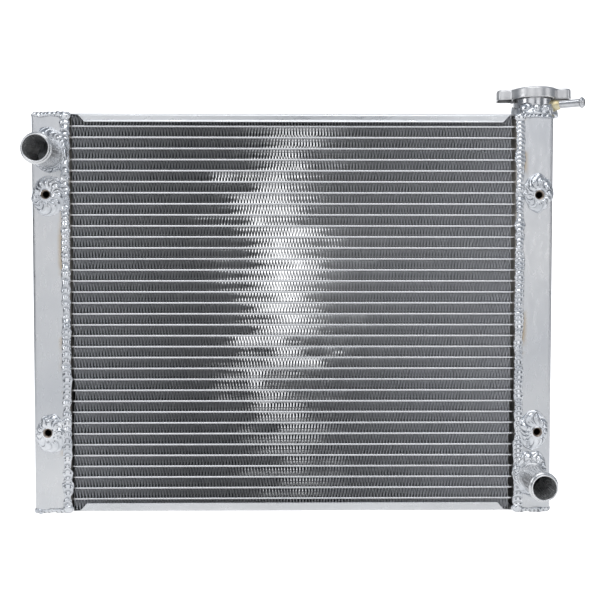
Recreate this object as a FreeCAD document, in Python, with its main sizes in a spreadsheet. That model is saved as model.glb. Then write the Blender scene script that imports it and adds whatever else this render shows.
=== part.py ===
"""Cross-flow aluminium car radiator with side tanks, filler neck and pressure cap.

Frame: millimetres, +X to the right, +Y to the rear, +Z up. The origin is the centre of the four mounting
holes, on the front face of the tanks.
"""
import FreeCAD, Part
import Sketcher
import math
import os
import re

# name, value, what it is
SIZES = [
    ("overall_width", 481.0, "across both tanks"),
    ("tank_height", 370.0, "tank height with its end plates"),
    ("tank_depth", 48.0, "front face to rear face of a tank"),
    ("tank_wall", 2.5, "sheet thickness of the folded tank"),
    ("tank_corner", 3.0, "outside bend radius of the folded tank"),
    ("end_plate", 3.0, "thickness of the plates that close a tank"),
    ("end_inset", 1.5, "how far an end plate stops short of the tank's outline"),
    ("core_width", 412.0, "between the inner faces of the headers"),
    ("core_depth", 40.0, "front to rear of the core"),
    ("core_front", 4.0, "core front behind the tank front"),
    ("header", 3.0, "header plate thickness"),
    ("tube_levels", 35, "tubes from bottom to top"),
    ("tube_pitch", 10.2, "tube to tube, vertical"),
    ("tube_thick", 2.0, "tube height"),
    ("tube_deep", 19.0, "tube width, front to rear"),
    ("tube_skin", 0.4, "tube wall"),
    ("tube_stub", 2.0, "tube end that stands inside the tank"),
    ("fin_gap_left", 1.0, "clear strip between the fins and the left header"),
    ("fin_gap_right", 5.5, "clear strip between the fins and the right header"),
    ("outer_fin_extra", 0.9, "how much taller the outermost fins are"),
    ("fin_folds", 28, "folds of the simplified fin strip"),
    ("fin_sheet", 0.57, "fin strip thickness, measured vertically"),
    ("side_plate", 1.5, "sheet thickness of the side plates"),
    ("side_flange", 8.0, "height of a side plate's flange"),
    ("cut_top_left", 14.0, "flange end to header at its free edge, top left"),
    ("cut_top_right", 12.0, "the same at the top right"),
    ("cut_bottom_left", 13.4, "the same at the bottom left"),
    ("cut_bottom_right", 14.6, "the same at the bottom right"),
    ("cut_across", 6.5, "how far a cut corner runs along the flange"),
    ("hole_spacing_x", 454.0, "mounting holes, left to right"),
    ("hole_spacing_z", 220.0, "mounting holes, top to bottom"),
    ("hole_radius", 2.5, "M6 thread at its tapping size"),
    ("hole_depth", 8.0, "hole end behind the tank front"),
    ("boss_radius", 7.0, "boss outside radius"),
    ("boss_stand", 3.0, "boss face in front of the tank"),
    ("boss_end", 11.0, "boss end behind the tank front"),
    ("boss_sink", 2.0, "countersink depth and widening"),
    ("inlet_x", 224.0, "inlet from the middle"),
    ("outlet_x", 222.3, "outlet from the middle"),
    ("pipe_length", 45.0, "pipe in front of the tank"),
    ("pipe_inside", 4.0, "pipe end behind the tank front"),
    ("pipe_wall", 1.6, "pipe wall"),
    ("bead_back", 5.0, "rolled bead to the pipe mouth"),
    ("bead_wire", 1.5, "radius of the rolled bead's section"),
    ("bead_sink", 0.05, "centre of the bead's section under the pipe's outside"),
    ("inlet_z", 147.0, "inlet height"),
    ("inlet_radius", 12.7, "inlet outside radius, a 1 inch pipe"),
    ("outlet_z", -152.0, "outlet height"),
    ("outlet_radius", 12.0, "outlet outside radius"),
    ("seam_width", 7.6, "width of the header seam weld"),
    ("seam_rise", 1.2, "height of the header seam weld"),
    ("weld_bulge", 0.6, "end weld outside the tank's outline"),
    ("end_weld_round", 1.2, "rounding of an end weld"),
    ("boss_weld", 14.2, "outside radius of a boss weld"),
    ("boss_weld_crown", 9.0, "radius of a boss weld's crown"),
    ("boss_weld_rise", 2.8, "height of a boss weld's crown"),
    ("boss_weld_inside", 2.2, "height of a boss weld at the boss"),
    ("boss_weld_toe", 13.2, "radius where a boss weld's toe starts"),
    ("boss_toe_rise", 1.1, "height where a boss weld's toe starts"),
    ("pipe_weld", 16.4, "outside radius of a pipe weld"),
    ("pipe_weld_inside", 4.5, "height of a pipe weld at the pipe"),
    ("pipe_weld_middle", 2.5, "height of a pipe weld half way out"),
    ("neck_place_x", 226.5, "filler neck axis from the middle"),
    ("neck_place_y", 21.0, "filler neck axis behind the tank front"),
    ("neck_radius", 18.5, "filler neck outside radius"),
    ("neck_wall", 1.5, "filler neck wall"),
    ("seat_radius", 13.0, "hole in the lower seat"),
    ("seat_high", 3.9, "lower seat above the tank"),
    ("seat_sheet", 1.0, "sheet thickness of the lower seat"),
    ("flange_low", 17.2, "underside of the neck flange above the tank"),
    ("flange_high", 19.4, "top of the neck flange above the tank"),
    ("flange_radius", 20.8, "neck flange outside radius"),
    ("notch_radius", 18.9, "how deep the flange notches reach"),
    ("notch_width", 14.0, "width of a flange notch"),
    ("notch_clear", 1.0, "how far the notch cutter starts below the flange"),
    ("neck_weld_radius", 20.9, "outside radius of the neck weld"),
    ("neck_weld_toe", 1.2, "height of the neck weld at its outside"),
    ("neck_weld_top", 4.4, "height of the neck weld at the neck"),
    ("neck_weld_crown", 3.6, "height of the neck weld's crown"),
    ("neck_crown_out", 1.2, "neck to the neck weld's crown"),
    ("nipple_turn", -30.0, "nipple direction about the neck, degrees from +X"),
    ("nipple_high", 9.8, "nipple axis above the tank"),
    ("nipple_radius", 3.2, "nipple outside radius"),
    ("nipple_bore", 2.0, "nipple bore radius"),
    ("nipple_start", 16.2, "nipple inner end from the neck axis"),
    ("nipple_reach", 47.5, "nipple mouth from the neck axis"),
    ("nipple_bead", 1.3, "radius of the nipple bead's section"),
    ("nipple_bead_out", 2.6, "centre of the bead's section from the nipple's axis"),
    ("nipple_bead_back", 1.7, "centre of the bead's section to the nipple's mouth"),
    ("braze_radius", 4.8, "braze fillet outside radius"),
    ("braze_shoulder", 19.5, "end of the braze fillet's full width from the neck axis"),
    ("braze_reach", 21.5, "braze fillet end from the neck axis"),
    ("cap_turned", -7.0, "ear direction about the neck when locked, degrees from +X"),
    ("cap_radius", 22.5, "cap outside radius"),
    ("cap_low", 15.4, "cap skirt above the tank"),
    ("cap_high", 25.4, "cap top above the tank"),
    ("cap_sheet", 1.1, "cap sheet thickness"),
    ("cap_round", 2.6, "rounding of the cap's top edge"),
    ("ear_reach", 34.0, "ear tip from the neck axis"),
    ("ear_half", 9.0, "half of an ear's width"),
    ("ear_wall", 1.65, "wall round the hollow of an ear"),
    ("ear_clip", 1.7, "corner of an ear's hollow"),
    ("ear_corner", 5.0, "corner radius of an ear"),
    ("ear_root", 4.0, "inside radius where an ear meets the cap"),
    ("lug_half", 5.8, "half of a lug's width"),
    ("lug_inner", 19.3, "lug tip from the neck axis"),
    ("lug_outer", 21.6, "lug root from the neck axis"),
    ("lug_thick", 1.2, "lug thickness"),
    ("valve_gap", 0.1, "drawn gap between a seal and its seat"),
    ("seal_thick", 2.0, "pressure seal thickness"),
    ("seal_radius", 15.5, "pressure seal outside radius"),
    ("seal_hole", 5.0, "pressure seal hole radius"),
    ("press_sheet", 0.8, "sheet of the plate and the bell"),
    ("plate_radius", 15.0, "pressure plate outside radius"),
    ("plate_hole", 2.3, "pressure plate hole radius"),
    ("cup_radius", 10.6, "pressure plate cup outside radius"),
    ("cup_rise", 5.4, "pressure plate cup above its disc"),
    ("cup_lip", 12.3, "pressure plate lip outside radius"),
    ("bell_radius", 13.5, "bell outside radius"),
    ("bell_mouth", 11.1, "bell mouth radius"),
    ("bell_low", 10.2, "bell lower edge above the tank"),
    ("disc_sheet", 0.6, "spring disc thickness"),
    ("disc_flat", 14.0, "radius of the spring disc's flat"),
    ("disc_radius", 20.4, "spring disc outside radius"),
    ("gasket_inner", 17.2, "cap gasket inside radius"),
    ("gasket_thick", 1.5, "cap gasket thickness"),
    ("rivet_radius", 2.0, "cap rivet shank radius"),
    ("rivet_head", 3.8, "cap rivet head radius"),
    ("rivet_crown", 2.7, "radius of the flat on the cap rivet's head"),
    ("rivet_rise", 0.8, "cap rivet head height"),
    ("spring_wire", 0.8, "pressure spring wire radius"),
    ("spring_mean", 8.6, "pressure spring mean radius"),
    ("spring_turns", 5.0, "pressure spring turns"),
    ("vacuum_radius", 7.0, "vacuum valve disc radius"),
    ("vacuum_thick", 1.0, "vacuum valve disc thickness"),
    ("vacuum_stem", 1.4, "vacuum valve stem radius"),
    ("vacuum_head", 3.0, "vacuum valve head radius"),
    ("vacuum_head_thick", 0.8, "vacuum valve head thickness"),
    ("vacuum_high", 14.9, "vacuum valve top above the tank"),
    ("vacuum_wire", 0.25, "vacuum spring wire radius"),
    ("vacuum_mean", 2.7, "vacuum spring mean radius"),
    ("vacuum_turns", 6.0, "vacuum spring turns"),
]

doc = FreeCAD.newDocument("radiator")
sizes = doc.addObject("Spreadsheet::Sheet", "Sizes")
for row, (alias, value, meaning) in enumerate(SIZES, start=1):
    sizes.set(f"A{row}", alias)
    sizes.set(f"B{row}", str(value))
    sizes.setAlias(f"B{row}", alias)
    sizes.set(f"C{row}", meaning)
doc.recompute()
ALIASES = {alias for alias, _, _ in SIZES}
ROOF = "tank_height/2"  # height of the tank's top face
TURN = 360.0
NEAR = 0.01  # how close a point is to a plane to count as on it
nodes = []  # the finished sub-parts, each with its node name as its Label


# ---------------------------------------------------------------- helpers
def linked(text):
    """Turn 'core_width/2' into an expression that reads the sheet."""
    def full_name(match):
        word = match.group()
        return "Sizes." + word if word in ALIASES else word

    return re.sub(r"[a-z][a-z0-9_]*", full_name, str(text))


def number(text):
    return float(sizes.evalExpression(linked(text)))


def bind(thing, prop, text):
    thing.setExpression(prop, linked(text))


def keep(thing, label):
    """Name a finished sub-part; its Label is its node's name."""
    thing.Label = label
    nodes.append(thing)
    return thing


def new_body(name):
    body = doc.addObject("PartDesign::Body", name)
    body.AllowCompound = True
    return body


def origin_feature(body, role):
    return next(f for f in body.Origin.OriginFeatures if f.Role == role)


def new_sketch(body, plane, name):
    sketch = body.newObject("Sketcher::SketchObject", name)
    sketch.AttachmentSupport = (origin_feature(body, plane), [""])
    sketch.MapMode = "FlatFace"
    return sketch


def pin_point(sketch, edge, end, across, up):
    """Tie one end (or the centre, 3) of an edge to sheet expressions."""
    for kind, text in (("DistanceX", across), ("DistanceY", up)):
        index = sketch.addConstraint(Sketcher.Constraint(kind, -1, 1, edge, end, number(text)))
        sketch.setExpression(f"Constraints[{index}]", linked(text))


def draw_outline(sketch, points):
    """A closed polygon; each point is a pair of sheet expressions."""
    first = sketch.GeometryCount
    places = [FreeCAD.Vector(number(across), number(up), 0) for across, up in points]
    count = len(points)
    for i in range(count):
        sketch.addGeometry(Part.LineSegment(places[i], places[(i + 1) % count]), False)
    for i in range(count):
        after = first + (i + 1) % count
        sketch.addConstraint(Sketcher.Constraint("Coincident", first + i, 2, after, 1))
    for i, (across, up) in enumerate(points):
        pin_point(sketch, first + i, 1, across, up)


def draw_circle(sketch, across, up, radius):
    centre = FreeCAD.Vector(number(across), number(up), 0)
    edge = sketch.addGeometry(Part.Circle(centre, FreeCAD.Vector(0, 0, 1), number(radius)), False)
    pin_point(sketch, edge, 3, across, up)
    index = sketch.addConstraint(Sketcher.Constraint("Radius", edge, number(radius)))
    sketch.setExpression(f"Constraints[{index}]", linked(radius))


def draw_slot(sketch, low, high, half, inset="0"):
    """A round-ended slot along the sketch's first axis, centred on its second, drawn inset by a wall."""
    near, far, radius = number(f"{low}+{half}"), number(f"{high}-{half}"), number(f"{half}-{inset}")
    up = FreeCAD.Vector(0, 0, 1)
    arcs = [
        Part.ArcOfCircle(Part.Circle(FreeCAD.Vector(near, 0, 0), up, radius), math.pi / 2, 3 * math.pi / 2),
        Part.ArcOfCircle(Part.Circle(FreeCAD.Vector(far, 0, 0), up, radius), -math.pi / 2, math.pi / 2),
    ]
    first = sketch.GeometryCount
    for arc in arcs:
        sketch.addGeometry(arc, False)
    sketch.addGeometry(Part.LineSegment(arcs[0].EndPoint, arcs[1].StartPoint), False)
    sketch.addGeometry(Part.LineSegment(arcs[1].EndPoint, arcs[0].StartPoint), False)
    left, right, lower, upper = range(first, first + 4)
    for a, b in ((left, lower), (lower, right), (right, upper), (upper, left)):
        sketch.addConstraint(Sketcher.Constraint("Tangent", a, 2, b, 1))
    for edge, across in ((left, f"{low}+{half}"), (right, f"{high}-{half}")):
        index = sketch.addConstraint(Sketcher.Constraint("DistanceX", -1, 1, edge, 3, number(across)))
        sketch.setExpression(f"Constraints[{index}]", linked(across))
    sketch.addConstraint(Sketcher.Constraint("PointOnObject", left, 3, -1))
    sketch.addConstraint(Sketcher.Constraint("Horizontal", lower))
    index = sketch.addConstraint(Sketcher.Constraint("Radius", left, radius))
    sketch.setExpression(f"Constraints[{index}]", linked(f"{half}-{inset}"))


def pad(body, sketch, length, middle=False, back=False):
    feature = body.newObject("PartDesign::Pad", "Pad")
    feature.Profile = sketch
    bind(feature, "Length", length)
    feature.Midplane = middle
    feature.Reversed = back
    return feature


def pocket(body, sketch, length, middle=False, back=False):
    """Cut a sketch out of the body, and make sure that it took something away."""
    doc.recompute()
    before = body.Shape.Volume
    feature = body.newObject("PartDesign::Pocket", "Pocket")
    feature.Profile = sketch
    bind(feature, "Length", length)
    feature.Midplane = middle
    feature.Reversed = back
    doc.recompute()
    assert body.Shape.Volume < before, f"{body.Name}: {sketch.Name} cuts nothing"
    return feature


def revolve(body, sketch):
    feature = body.newObject("PartDesign::Revolution", "Revolution")
    feature.Profile = sketch
    feature.ReferenceAxis = (sketch, ["V_Axis"])
    feature.Angle = TURN
    return feature


def pattern(body, feature, role, length, count):
    repeat = body.newObject("PartDesign::LinearPattern", "LinearPattern")
    repeat.Originals = [feature]
    repeat.Direction = (origin_feature(body, role), [""])
    bind(repeat, "Length", length)
    bind(repeat, "Occurrences", count)
    body.Tip = repeat
    return repeat


def fillet_edges(body, base, radius, wanted):
    """Round those edges of a feature whose middle point is wanted."""
    doc.recompute()
    chosen = []
    for index, edge in enumerate(base.Shape.Edges, start=1):
        middle = edge.valueAt((edge.FirstParameter + edge.LastParameter) / 2)
        if wanted(edge, middle):
            chosen.append(f"Edge{index}")
    assert chosen, f"{body.Name}: no edge to round"
    feature = body.newObject("PartDesign::Fillet", "Fillet")
    feature.Base = (base, chosen)
    bind(feature, "Radius", radius)
    return feature


def place(thing, across="0", back="0", up="0", turn="0"):
    thing.Placement.Rotation = FreeCAD.Rotation(number(turn), 0, 0)
    for name, text in (("x", across), ("y", back), ("z", up)):
        bind(thing, f"Placement.Base.{name}", text)


def turned(name, points, plane="XZ_Plane"):
    """A body of revolution. On XZ_Plane a point is radius, height; on XY_Plane it is radius, depth."""
    body = new_body(name)
    sketch = new_sketch(body, plane, name + "_profile")
    draw_outline(sketch, points)
    revolve(body, sketch)
    return body


def cut(name, base, tools):
    for i, tool in enumerate(tools):
        step = doc.addObject("Part::Cut", f"{name}_cut_{i}")
        step.Base = base
        step.Tool = tool
        base = step
    return base


def mirrored(name, source, normal):
    copy = doc.addObject("Part::Mirroring", name)
    copy.Source = source
    copy.Normal = FreeCAD.Vector(*normal)
    return copy


def group(name, members):
    compound = doc.addObject("Part::Compound", name)
    compound.Links = members
    return compound


def four_corners(name, source):
    """A sub-part at all four corners of the mounting pattern, from the one at the upper right."""
    upper_left = mirrored(name + "_upper_left", source, (1, 0, 0))
    lower_right = mirrored(name + "_lower_right", source, (0, 0, 1))
    lower_left = mirrored(name + "_lower_left", upper_left, (0, 0, 1))
    return group(name, [source, upper_left, lower_right, lower_left])


def at_neck(thing, turn="0"):
    """Stand a piece on the tank's top face, on the neck's axis."""
    place(thing, "neck_place_x", "neck_place_y", ROOF, turn)


# ---------------------------------------------------------------- tanks
INNER = "(core_width/2+header)"  # where the tank wall meets the header
SIDES = (("left", -1), ("right", 1))
PIPES = {  # centre and outside radius of the pipe in each tank
    "left": ("-inlet_x", "inlet_z", "inlet_radius"),
    "right": ("outlet_x", "outlet_z", "outlet_radius"),
}


def tank_shell(side, sign):
    """Sheet folded round the front, the outer side and the rear, with holes for a pipe and two bosses."""
    body = new_body(f"{side}_tank_shell")
    sketch = new_sketch(body, "XY_Plane", f"{side}_shell_section")
    outer, inner = f"{sign}*overall_width/2", f"{sign}*{INNER}"
    inside = f"{sign}*(overall_width/2-tank_wall)"
    draw_outline(sketch, [
        (inner, "0"), (outer, "0"), (outer, "tank_depth"), (inner, "tank_depth"),
        (inner, "tank_depth-tank_wall"), (inside, "tank_depth-tank_wall"),
        (inside, "tank_wall"), (inner, "tank_wall"),
    ])
    wall = pad(body, sketch, "tank_height-2*end_plate", middle=True)
    half = number("overall_width/2")

    def outer_bend(edge, middle):
        return abs(abs(middle.x) - half) < NEAR and abs(middle.z) < NEAR and edge.Length > half / 2

    fillet_edges(body, wall, "tank_corner", outer_bend)
    holes = new_sketch(body, "XZ_Plane", f"{side}_front_holes")
    draw_circle(holes, *PIPES[side])
    for up in (1, -1):
        draw_circle(holes, f"{sign}*hole_spacing_x/2", f"{up}*hole_spacing_z/2", "boss_radius")
    pocket(body, holes, "4*tank_wall", middle=True)
    keep(body, f"{side}_tank_shell")


def tank_end(side, sign, end, up):
    """The plate that closes a tank, and the weld bead that runs round it."""
    level = f"{up}*(tank_height/2-end_plate/2)"
    plate = new_body(f"{side}_tank_{end}_plate")
    sketch = new_sketch(plate, "XY_Plane", f"{side}_{end}_plate_outline")
    near, far = f"{sign}*(core_width/2+end_inset)", f"{sign}*(overall_width/2-end_inset)"
    rear = "tank_depth-end_inset"
    corners = [(near, "end_inset"), (far, "end_inset"), (far, rear), (near, rear)]
    draw_outline(sketch, corners)
    pad(plate, sketch, "end_plate", middle=True)
    if sign > 0 and up > 0:
        throat = new_sketch(plate, "XY_Plane", "throat")
        draw_circle(throat, "neck_place_x", "neck_place_y", "seat_radius")
        pocket(plate, throat, "2*end_plate", middle=True)
    place(plate, up=level)
    keep(plate, f"{side}_tank_{end}_plate")

    bead = new_body(f"{side}_{end}_end_weld")
    ring = new_sketch(bead, "XY_Plane", f"{side}_{end}_weld_outline")
    near_out, far_out = f"{sign}*core_width/2", f"{sign}*(overall_width/2+weld_bulge)"
    draw_outline(ring, [(near_out, "-weld_bulge"), (far_out, "-weld_bulge"),
                        (far_out, "tank_depth+weld_bulge"), (near_out, "tank_depth+weld_bulge")])
    draw_outline(ring, corners)
    run = pad(bead, ring, "end_plate", middle=True)
    low, high = number("-weld_bulge"), number("tank_depth+weld_bulge")
    far_edge, outside = number(far_out), up * number("end_plate/2")

    def outer_rim(edge, middle):
        inward = min(abs(middle.y - low), abs(middle.y - high), abs(middle.x - far_edge))
        return abs(middle.z - outside) < NEAR and inward < NEAR

    fillet_edges(bead, run, "end_weld_round", outer_rim)
    place(bead, up=level)
    keep(bead, f"{side}_{end}_end_weld")


def header(side, sign):
    """Plate with a slot for every tube."""
    body = new_body(f"{side}_header")
    outline = new_sketch(body, "YZ_Plane", f"{side}_header_outline")
    half = "(tank_height/2-end_plate)"
    draw_outline(outline, [("0", f"-{half}"), ("tank_depth", f"-{half}"), ("tank_depth", half), ("0", half)])
    pad(body, outline, "header")
    slots = new_sketch(body, "YZ_Plane", f"{side}_header_slots")
    draw_tube_rows(slots, "0")
    lowest = "-(tube_levels-1)*tube_pitch/2"
    slots.AttachmentOffset = FreeCAD.Placement(FreeCAD.Vector(0, number(lowest), 0), FreeCAD.Rotation())
    cut_slot = pocket(body, slots, "2*header", middle=True)
    pattern(body, cut_slot, "Z_Axis", "(tube_levels-1)*tube_pitch", "tube_levels")
    place(body, across="core_width/2" if sign > 0 else f"-{INNER}")
    keep(body, f"{side}_header")


def draw_tube_rows(sketch, inset):
    """The front and the rear tube's section at one level."""
    rear = "(core_front+core_depth)"
    draw_slot(sketch, "core_front", "core_front+tube_deep", "tube_thick/2", inset)
    draw_slot(sketch, f"{rear}-tube_deep", rear, "tube_thick/2", inset)


def seam_welds(side, sign):
    """Vertical beads over the joint between tank and header; a pipe interrupts the front one."""
    middle = f"{sign}*(core_width/2+seam_width/2)"
    for face, depth, out in (("front", "0", -1), ("rear", "tank_depth", 1)):
        body = new_body(f"{side}_{face}_seam_weld")
        sketch = new_sketch(body, "XY_Plane", f"{side}_{face}_seam_section")
        crown = f"{depth}+{out}*seam_rise"
        draw_outline(sketch, [(f"{middle}-seam_width/2", depth), (f"{middle}-seam_width/3", crown),
                              (f"{middle}+seam_width/3", crown), (f"{middle}+seam_width/2", depth)])
        pad(body, sketch, "tank_height-2*end_plate", middle=True)
        if face == "front":
            passing = new_sketch(body, "XZ_Plane", f"{side}_pipe_passing")
            draw_circle(passing, *PIPES[side])
            pocket(body, passing, "4*seam_rise", middle=True)
        keep(body, f"{side}_{face}_seam_weld")


# ---------------------------------------------------------------- core
def core_tubes():
    """Hollow flat tubes, a front and a rear one at each level."""
    body = new_body("core_tubes")
    section = new_sketch(body, "YZ_Plane", "tube_section")
    draw_tube_rows(section, "0")
    draw_tube_rows(section, "tube_skin")
    lowest = "-(tube_levels-1)*tube_pitch/2"
    section.AttachmentOffset = FreeCAD.Placement(FreeCAD.Vector(0, number(lowest), 0), FreeCAD.Rotation())
    tube = pad(body, section, "core_width+2*(header+tube_stub)", middle=True)
    pattern(body, tube, "Z_Axis", "(tube_levels-1)*tube_pitch", "tube_levels")
    keep(body, "core_tubes")


def fin_strip(height):
    """One corrugated strip, standing on z = 0."""
    folds = int(number("fin_folds"))
    left, right = number("fin_gap_left-core_width/2"), number("core_width/2-fin_gap_right")
    sheet, front, depth = number("fin_sheet"), number("core_front"), number("core_depth")
    step = (right - left) / (2 * folds)
    zigzag = [(left + i * step, (height - sheet) * (i % 2)) for i in range(2 * folds + 1)]
    outline = zigzag + [(x, z + sheet) for x, z in reversed(zigzag)]
    corners = [FreeCAD.Vector(x, front, z) for x, z in outline]
    return Part.Face(Part.makePolygon(corners + corners[:1])).extrude(FreeCAD.Vector(0, depth, 0))


def core_fins():
    """Corrugated strips between the tubes and outside the end tubes, with fewer and thicker folds."""
    rows = int(number("tube_levels")) + 1
    pitch, extra = number("tube_pitch"), number("outer_fin_extra")
    row_height = number("tube_pitch-tube_thick")
    inner_strip, outer_strip = fin_strip(row_height), fin_strip(row_height + extra)
    strips = []
    for row in range(rows):
        lift = (row - rows / 2) * pitch + number("tube_thick/2")
        copy = (outer_strip if row in (0, rows - 1) else inner_strip).copy()
        copy.translate(FreeCAD.Vector(0, 0, lift - extra if row == 0 else lift))
        strips.append(copy)
    fins = doc.addObject("Part::Feature", "core_fins")
    fins.Shape = Part.makeCompound(strips)
    keep(fins, "core_fins")


def side_plate(end, up):
    """U-channel over the outermost fins, its flanges' corners cut at 45 degrees."""
    body = new_body(f"{end}_side_plate")
    section = new_sketch(body, "YZ_Plane", f"{end}_channel_section")
    web = f"{up}*(tube_levels*tube_pitch/2+(tube_pitch-tube_thick)/2+outer_fin_extra)"
    top = f"{web}+{up}*side_plate"
    low = f"{top}-{up}*side_flange"
    front, rear = "core_front", "(core_front+core_depth)"
    draw_outline(section, [
        (f"{front}-side_plate", top), (f"{rear}+side_plate", top), (f"{rear}+side_plate", low), (rear, low),
        (rear, web), (front, web), (front, low), (f"{front}-side_plate", low),
    ])
    channel = pad(body, section, "core_width", middle=True)
    outer_y, roof = (number(f"{front}-side_plate"), number(f"{rear}+side_plate")), number(top)

    def channel_bend(edge, middle):
        at_face = min(abs(middle.y - y) for y in outer_y) < NEAR
        return at_face and abs(middle.z - roof) < NEAR and abs(middle.x) < NEAR

    fillet_edges(body, channel, "side_plate", channel_bend)
    ends = new_sketch(body, "XZ_Plane", f"{end}_flange_cuts")
    past = f"{low}-{up}*side_plate"
    for side, sign in SIDES:
        away = f"cut_{end}_{side}"
        draw_outline(ends, [
            (f"{sign}*(core_width/2-{away}+cut_across)", web), (f"{sign}*core_width/2", web),
            (f"{sign}*core_width/2", past), (f"{sign}*(core_width/2-{away})", past),
            (f"{sign}*(core_width/2-{away})", low),
        ])
    pocket(body, ends, "4*tank_depth", middle=True)
    keep(body, f"{end}_side_plate")


# ---------------------------------------------------------------- pipes and bosses
def pipe(name, side):
    """Hose pipe with a rolled bead near its mouth, and its weld to the tank."""
    across, up, radius = PIPES[side]
    bore = f"({radius}-pipe_wall)"
    body = turned(f"{name}_pipe", [
        (bore, "-pipe_length"), (radius, "-pipe_length"), (radius, "pipe_inside"), (bore, "pipe_inside"),
    ], "XY_Plane")
    bead = new_sketch(body, "XY_Plane", f"{name}_bead")
    draw_circle(bead, f"{radius}-bead_sink", "bead_back-pipe_length", "bead_wire")
    revolve(body, bead)
    place(body, across, "0", up)
    keep(body, f"{name}_pipe")
    weld = turned(f"{name}_weld", [
        (radius, "0"), (radius, "-pipe_weld_inside"), (f"({radius}+pipe_weld)/2", "-pipe_weld_middle"),
        ("pipe_weld", "0"),
    ], "XY_Plane")
    place(weld, across, "0", up)
    keep(weld, f"{name}_weld")


def mounting_bosses():
    """Blind threaded bosses let into the tanks' front walls, drawn at the tapping size."""
    boss = turned("boss", [
        ("hole_radius+boss_sink", "-boss_stand"), ("boss_radius", "-boss_stand"), ("boss_radius", "boss_end"),
        ("0", "boss_end"), ("0", "hole_depth"), ("hole_radius", "hole_depth"),
        ("hole_radius", "boss_sink-boss_stand"),
    ], "XY_Plane")
    place(boss, "hole_spacing_x/2", "0", "hole_spacing_z/2")
    keep(four_corners("mounting_bosses", boss), "mounting_bosses")
    weld = turned("boss_bead", [
        ("boss_radius", "0"), ("boss_radius", "-boss_weld_inside"), ("boss_weld_crown", "-boss_weld_rise"),
        ("boss_weld_toe", "-boss_toe_rise"), ("boss_weld", "0"),
    ], "XY_Plane")
    place(weld, "hole_spacing_x/2", "0", "hole_spacing_z/2")
    keep(four_corners("boss_welds", weld), "boss_welds")


# ---------------------------------------------------------------- filler neck
def filler_neck():
    """Neck with a lower seat, a cam flange, two notches for the cap's lugs and a hole for the nipple."""
    inside = "(neck_radius-neck_wall)"
    neck = turned("neck_wall_and_seat", [
        (inside, "0"), ("neck_radius", "0"), ("neck_radius", "flange_low"), ("flange_radius", "flange_low"),
        ("flange_radius", "flange_high"), (inside, "flange_high"), (inside, "seat_high"),
        ("seat_radius", "seat_high"), ("seat_radius", "seat_high-seat_sheet"), (inside, "seat_high-seat_sheet"),
    ])
    at_neck(neck)
    tools = []
    for sign in (-1, 1):
        notch = doc.addObject("Part::Box", "flange_notch")
        bind(notch, "Length", "flange_radius")
        bind(notch, "Width", "notch_width")
        bind(notch, "Height", "flange_high")
        turn = number("cap_turned") if sign > 0 else number("cap_turned") + TURN / 2
        start = FreeCAD.Vector(number("notch_radius"), number("-notch_width/2"), number("flange_low-notch_clear"))
        spin = FreeCAD.Placement(FreeCAD.Vector(0, 0, 0), FreeCAD.Rotation(turn, 0, 0))
        home = FreeCAD.Placement(FreeCAD.Vector(number("neck_place_x"), number("neck_place_y"), number(ROOF)),
                                 FreeCAD.Rotation())
        notch.Placement = home.multiply(spin).multiply(FreeCAD.Placement(start, FreeCAD.Rotation()))
        tools.append(notch)
    drill = doc.addObject("Part::Cylinder", "nipple_hole")
    bind(drill, "Radius", "nipple_radius")
    bind(drill, "Height", "flange_radius")
    lay_on_nipple(drill)
    tools.append(drill)
    keep(cut("filler_neck", neck, tools), "filler_neck")


def lay_on_nipple(thing):
    """Put a piece made along its own Z on the nipple's axis, starting at the neck's axis."""
    aim = FreeCAD.Rotation(number("nipple_turn"), 0, 0)
    lie = FreeCAD.Rotation(FreeCAD.Vector(0, 1, 0), 90)
    thing.Placement.Rotation = aim.multiply(lie)
    for name, text in (("x", "neck_place_x"), ("y", "neck_place_y"), ("z", f"{ROOF}+nipple_high")):
        bind(thing, f"Placement.Base.{name}", text)


def overflow_nipple():
    """Hose nipple with a beaded end, brazed into the neck's wall."""
    nipple = turned("overflow_nipple", [
        ("nipple_bore", "nipple_start"), ("nipple_radius", "nipple_start"), ("nipple_radius", "nipple_reach"),
        ("nipple_bore", "nipple_reach"),
    ])
    bead = new_sketch(nipple, "XZ_Plane", "nipple_bead_section")
    draw_circle(bead, "nipple_bead_out", "nipple_reach-nipple_bead_back", "nipple_bead")
    revolve(nipple, bead)
    bore = new_sketch(nipple, "XZ_Plane", "nipple_bore_section")
    past = "nipple_reach+nipple_bore"
    draw_outline(bore, [("0", "0"), ("nipple_bore", "0"), ("nipple_bore", past), ("0", past)])
    groove = nipple.newObject("PartDesign::Groove", "Groove")
    groove.Profile = bore
    groove.ReferenceAxis = (bore, ["V_Axis"])
    groove.Angle = TURN
    lay_on_nipple(nipple)
    keep(nipple, "overflow_nipple")
    cone = turned("braze_cone", [
        ("nipple_radius", "nipple_start"), ("braze_radius", "nipple_start"), ("braze_radius", "braze_shoulder"),
        ("nipple_radius", "braze_reach"),
    ])
    lay_on_nipple(cone)
    wall = doc.addObject("Part::Cylinder", "neck_outside")
    bind(wall, "Radius", "neck_radius")
    bind(wall, "Height", "flange_low")
    at_neck(wall)
    keep(cut("nipple_braze", cone, [wall]), "nipple_braze")


def neck_weld():
    weld = turned("neck_weld", [
        ("neck_radius", "0"), ("neck_weld_radius", "0"), ("neck_weld_radius", "neck_weld_toe"),
        ("neck_radius+neck_crown_out", "neck_weld_crown"), ("neck_radius", "neck_weld_top"),
    ])
    at_neck(weld)
    keep(weld, "neck_weld")


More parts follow.
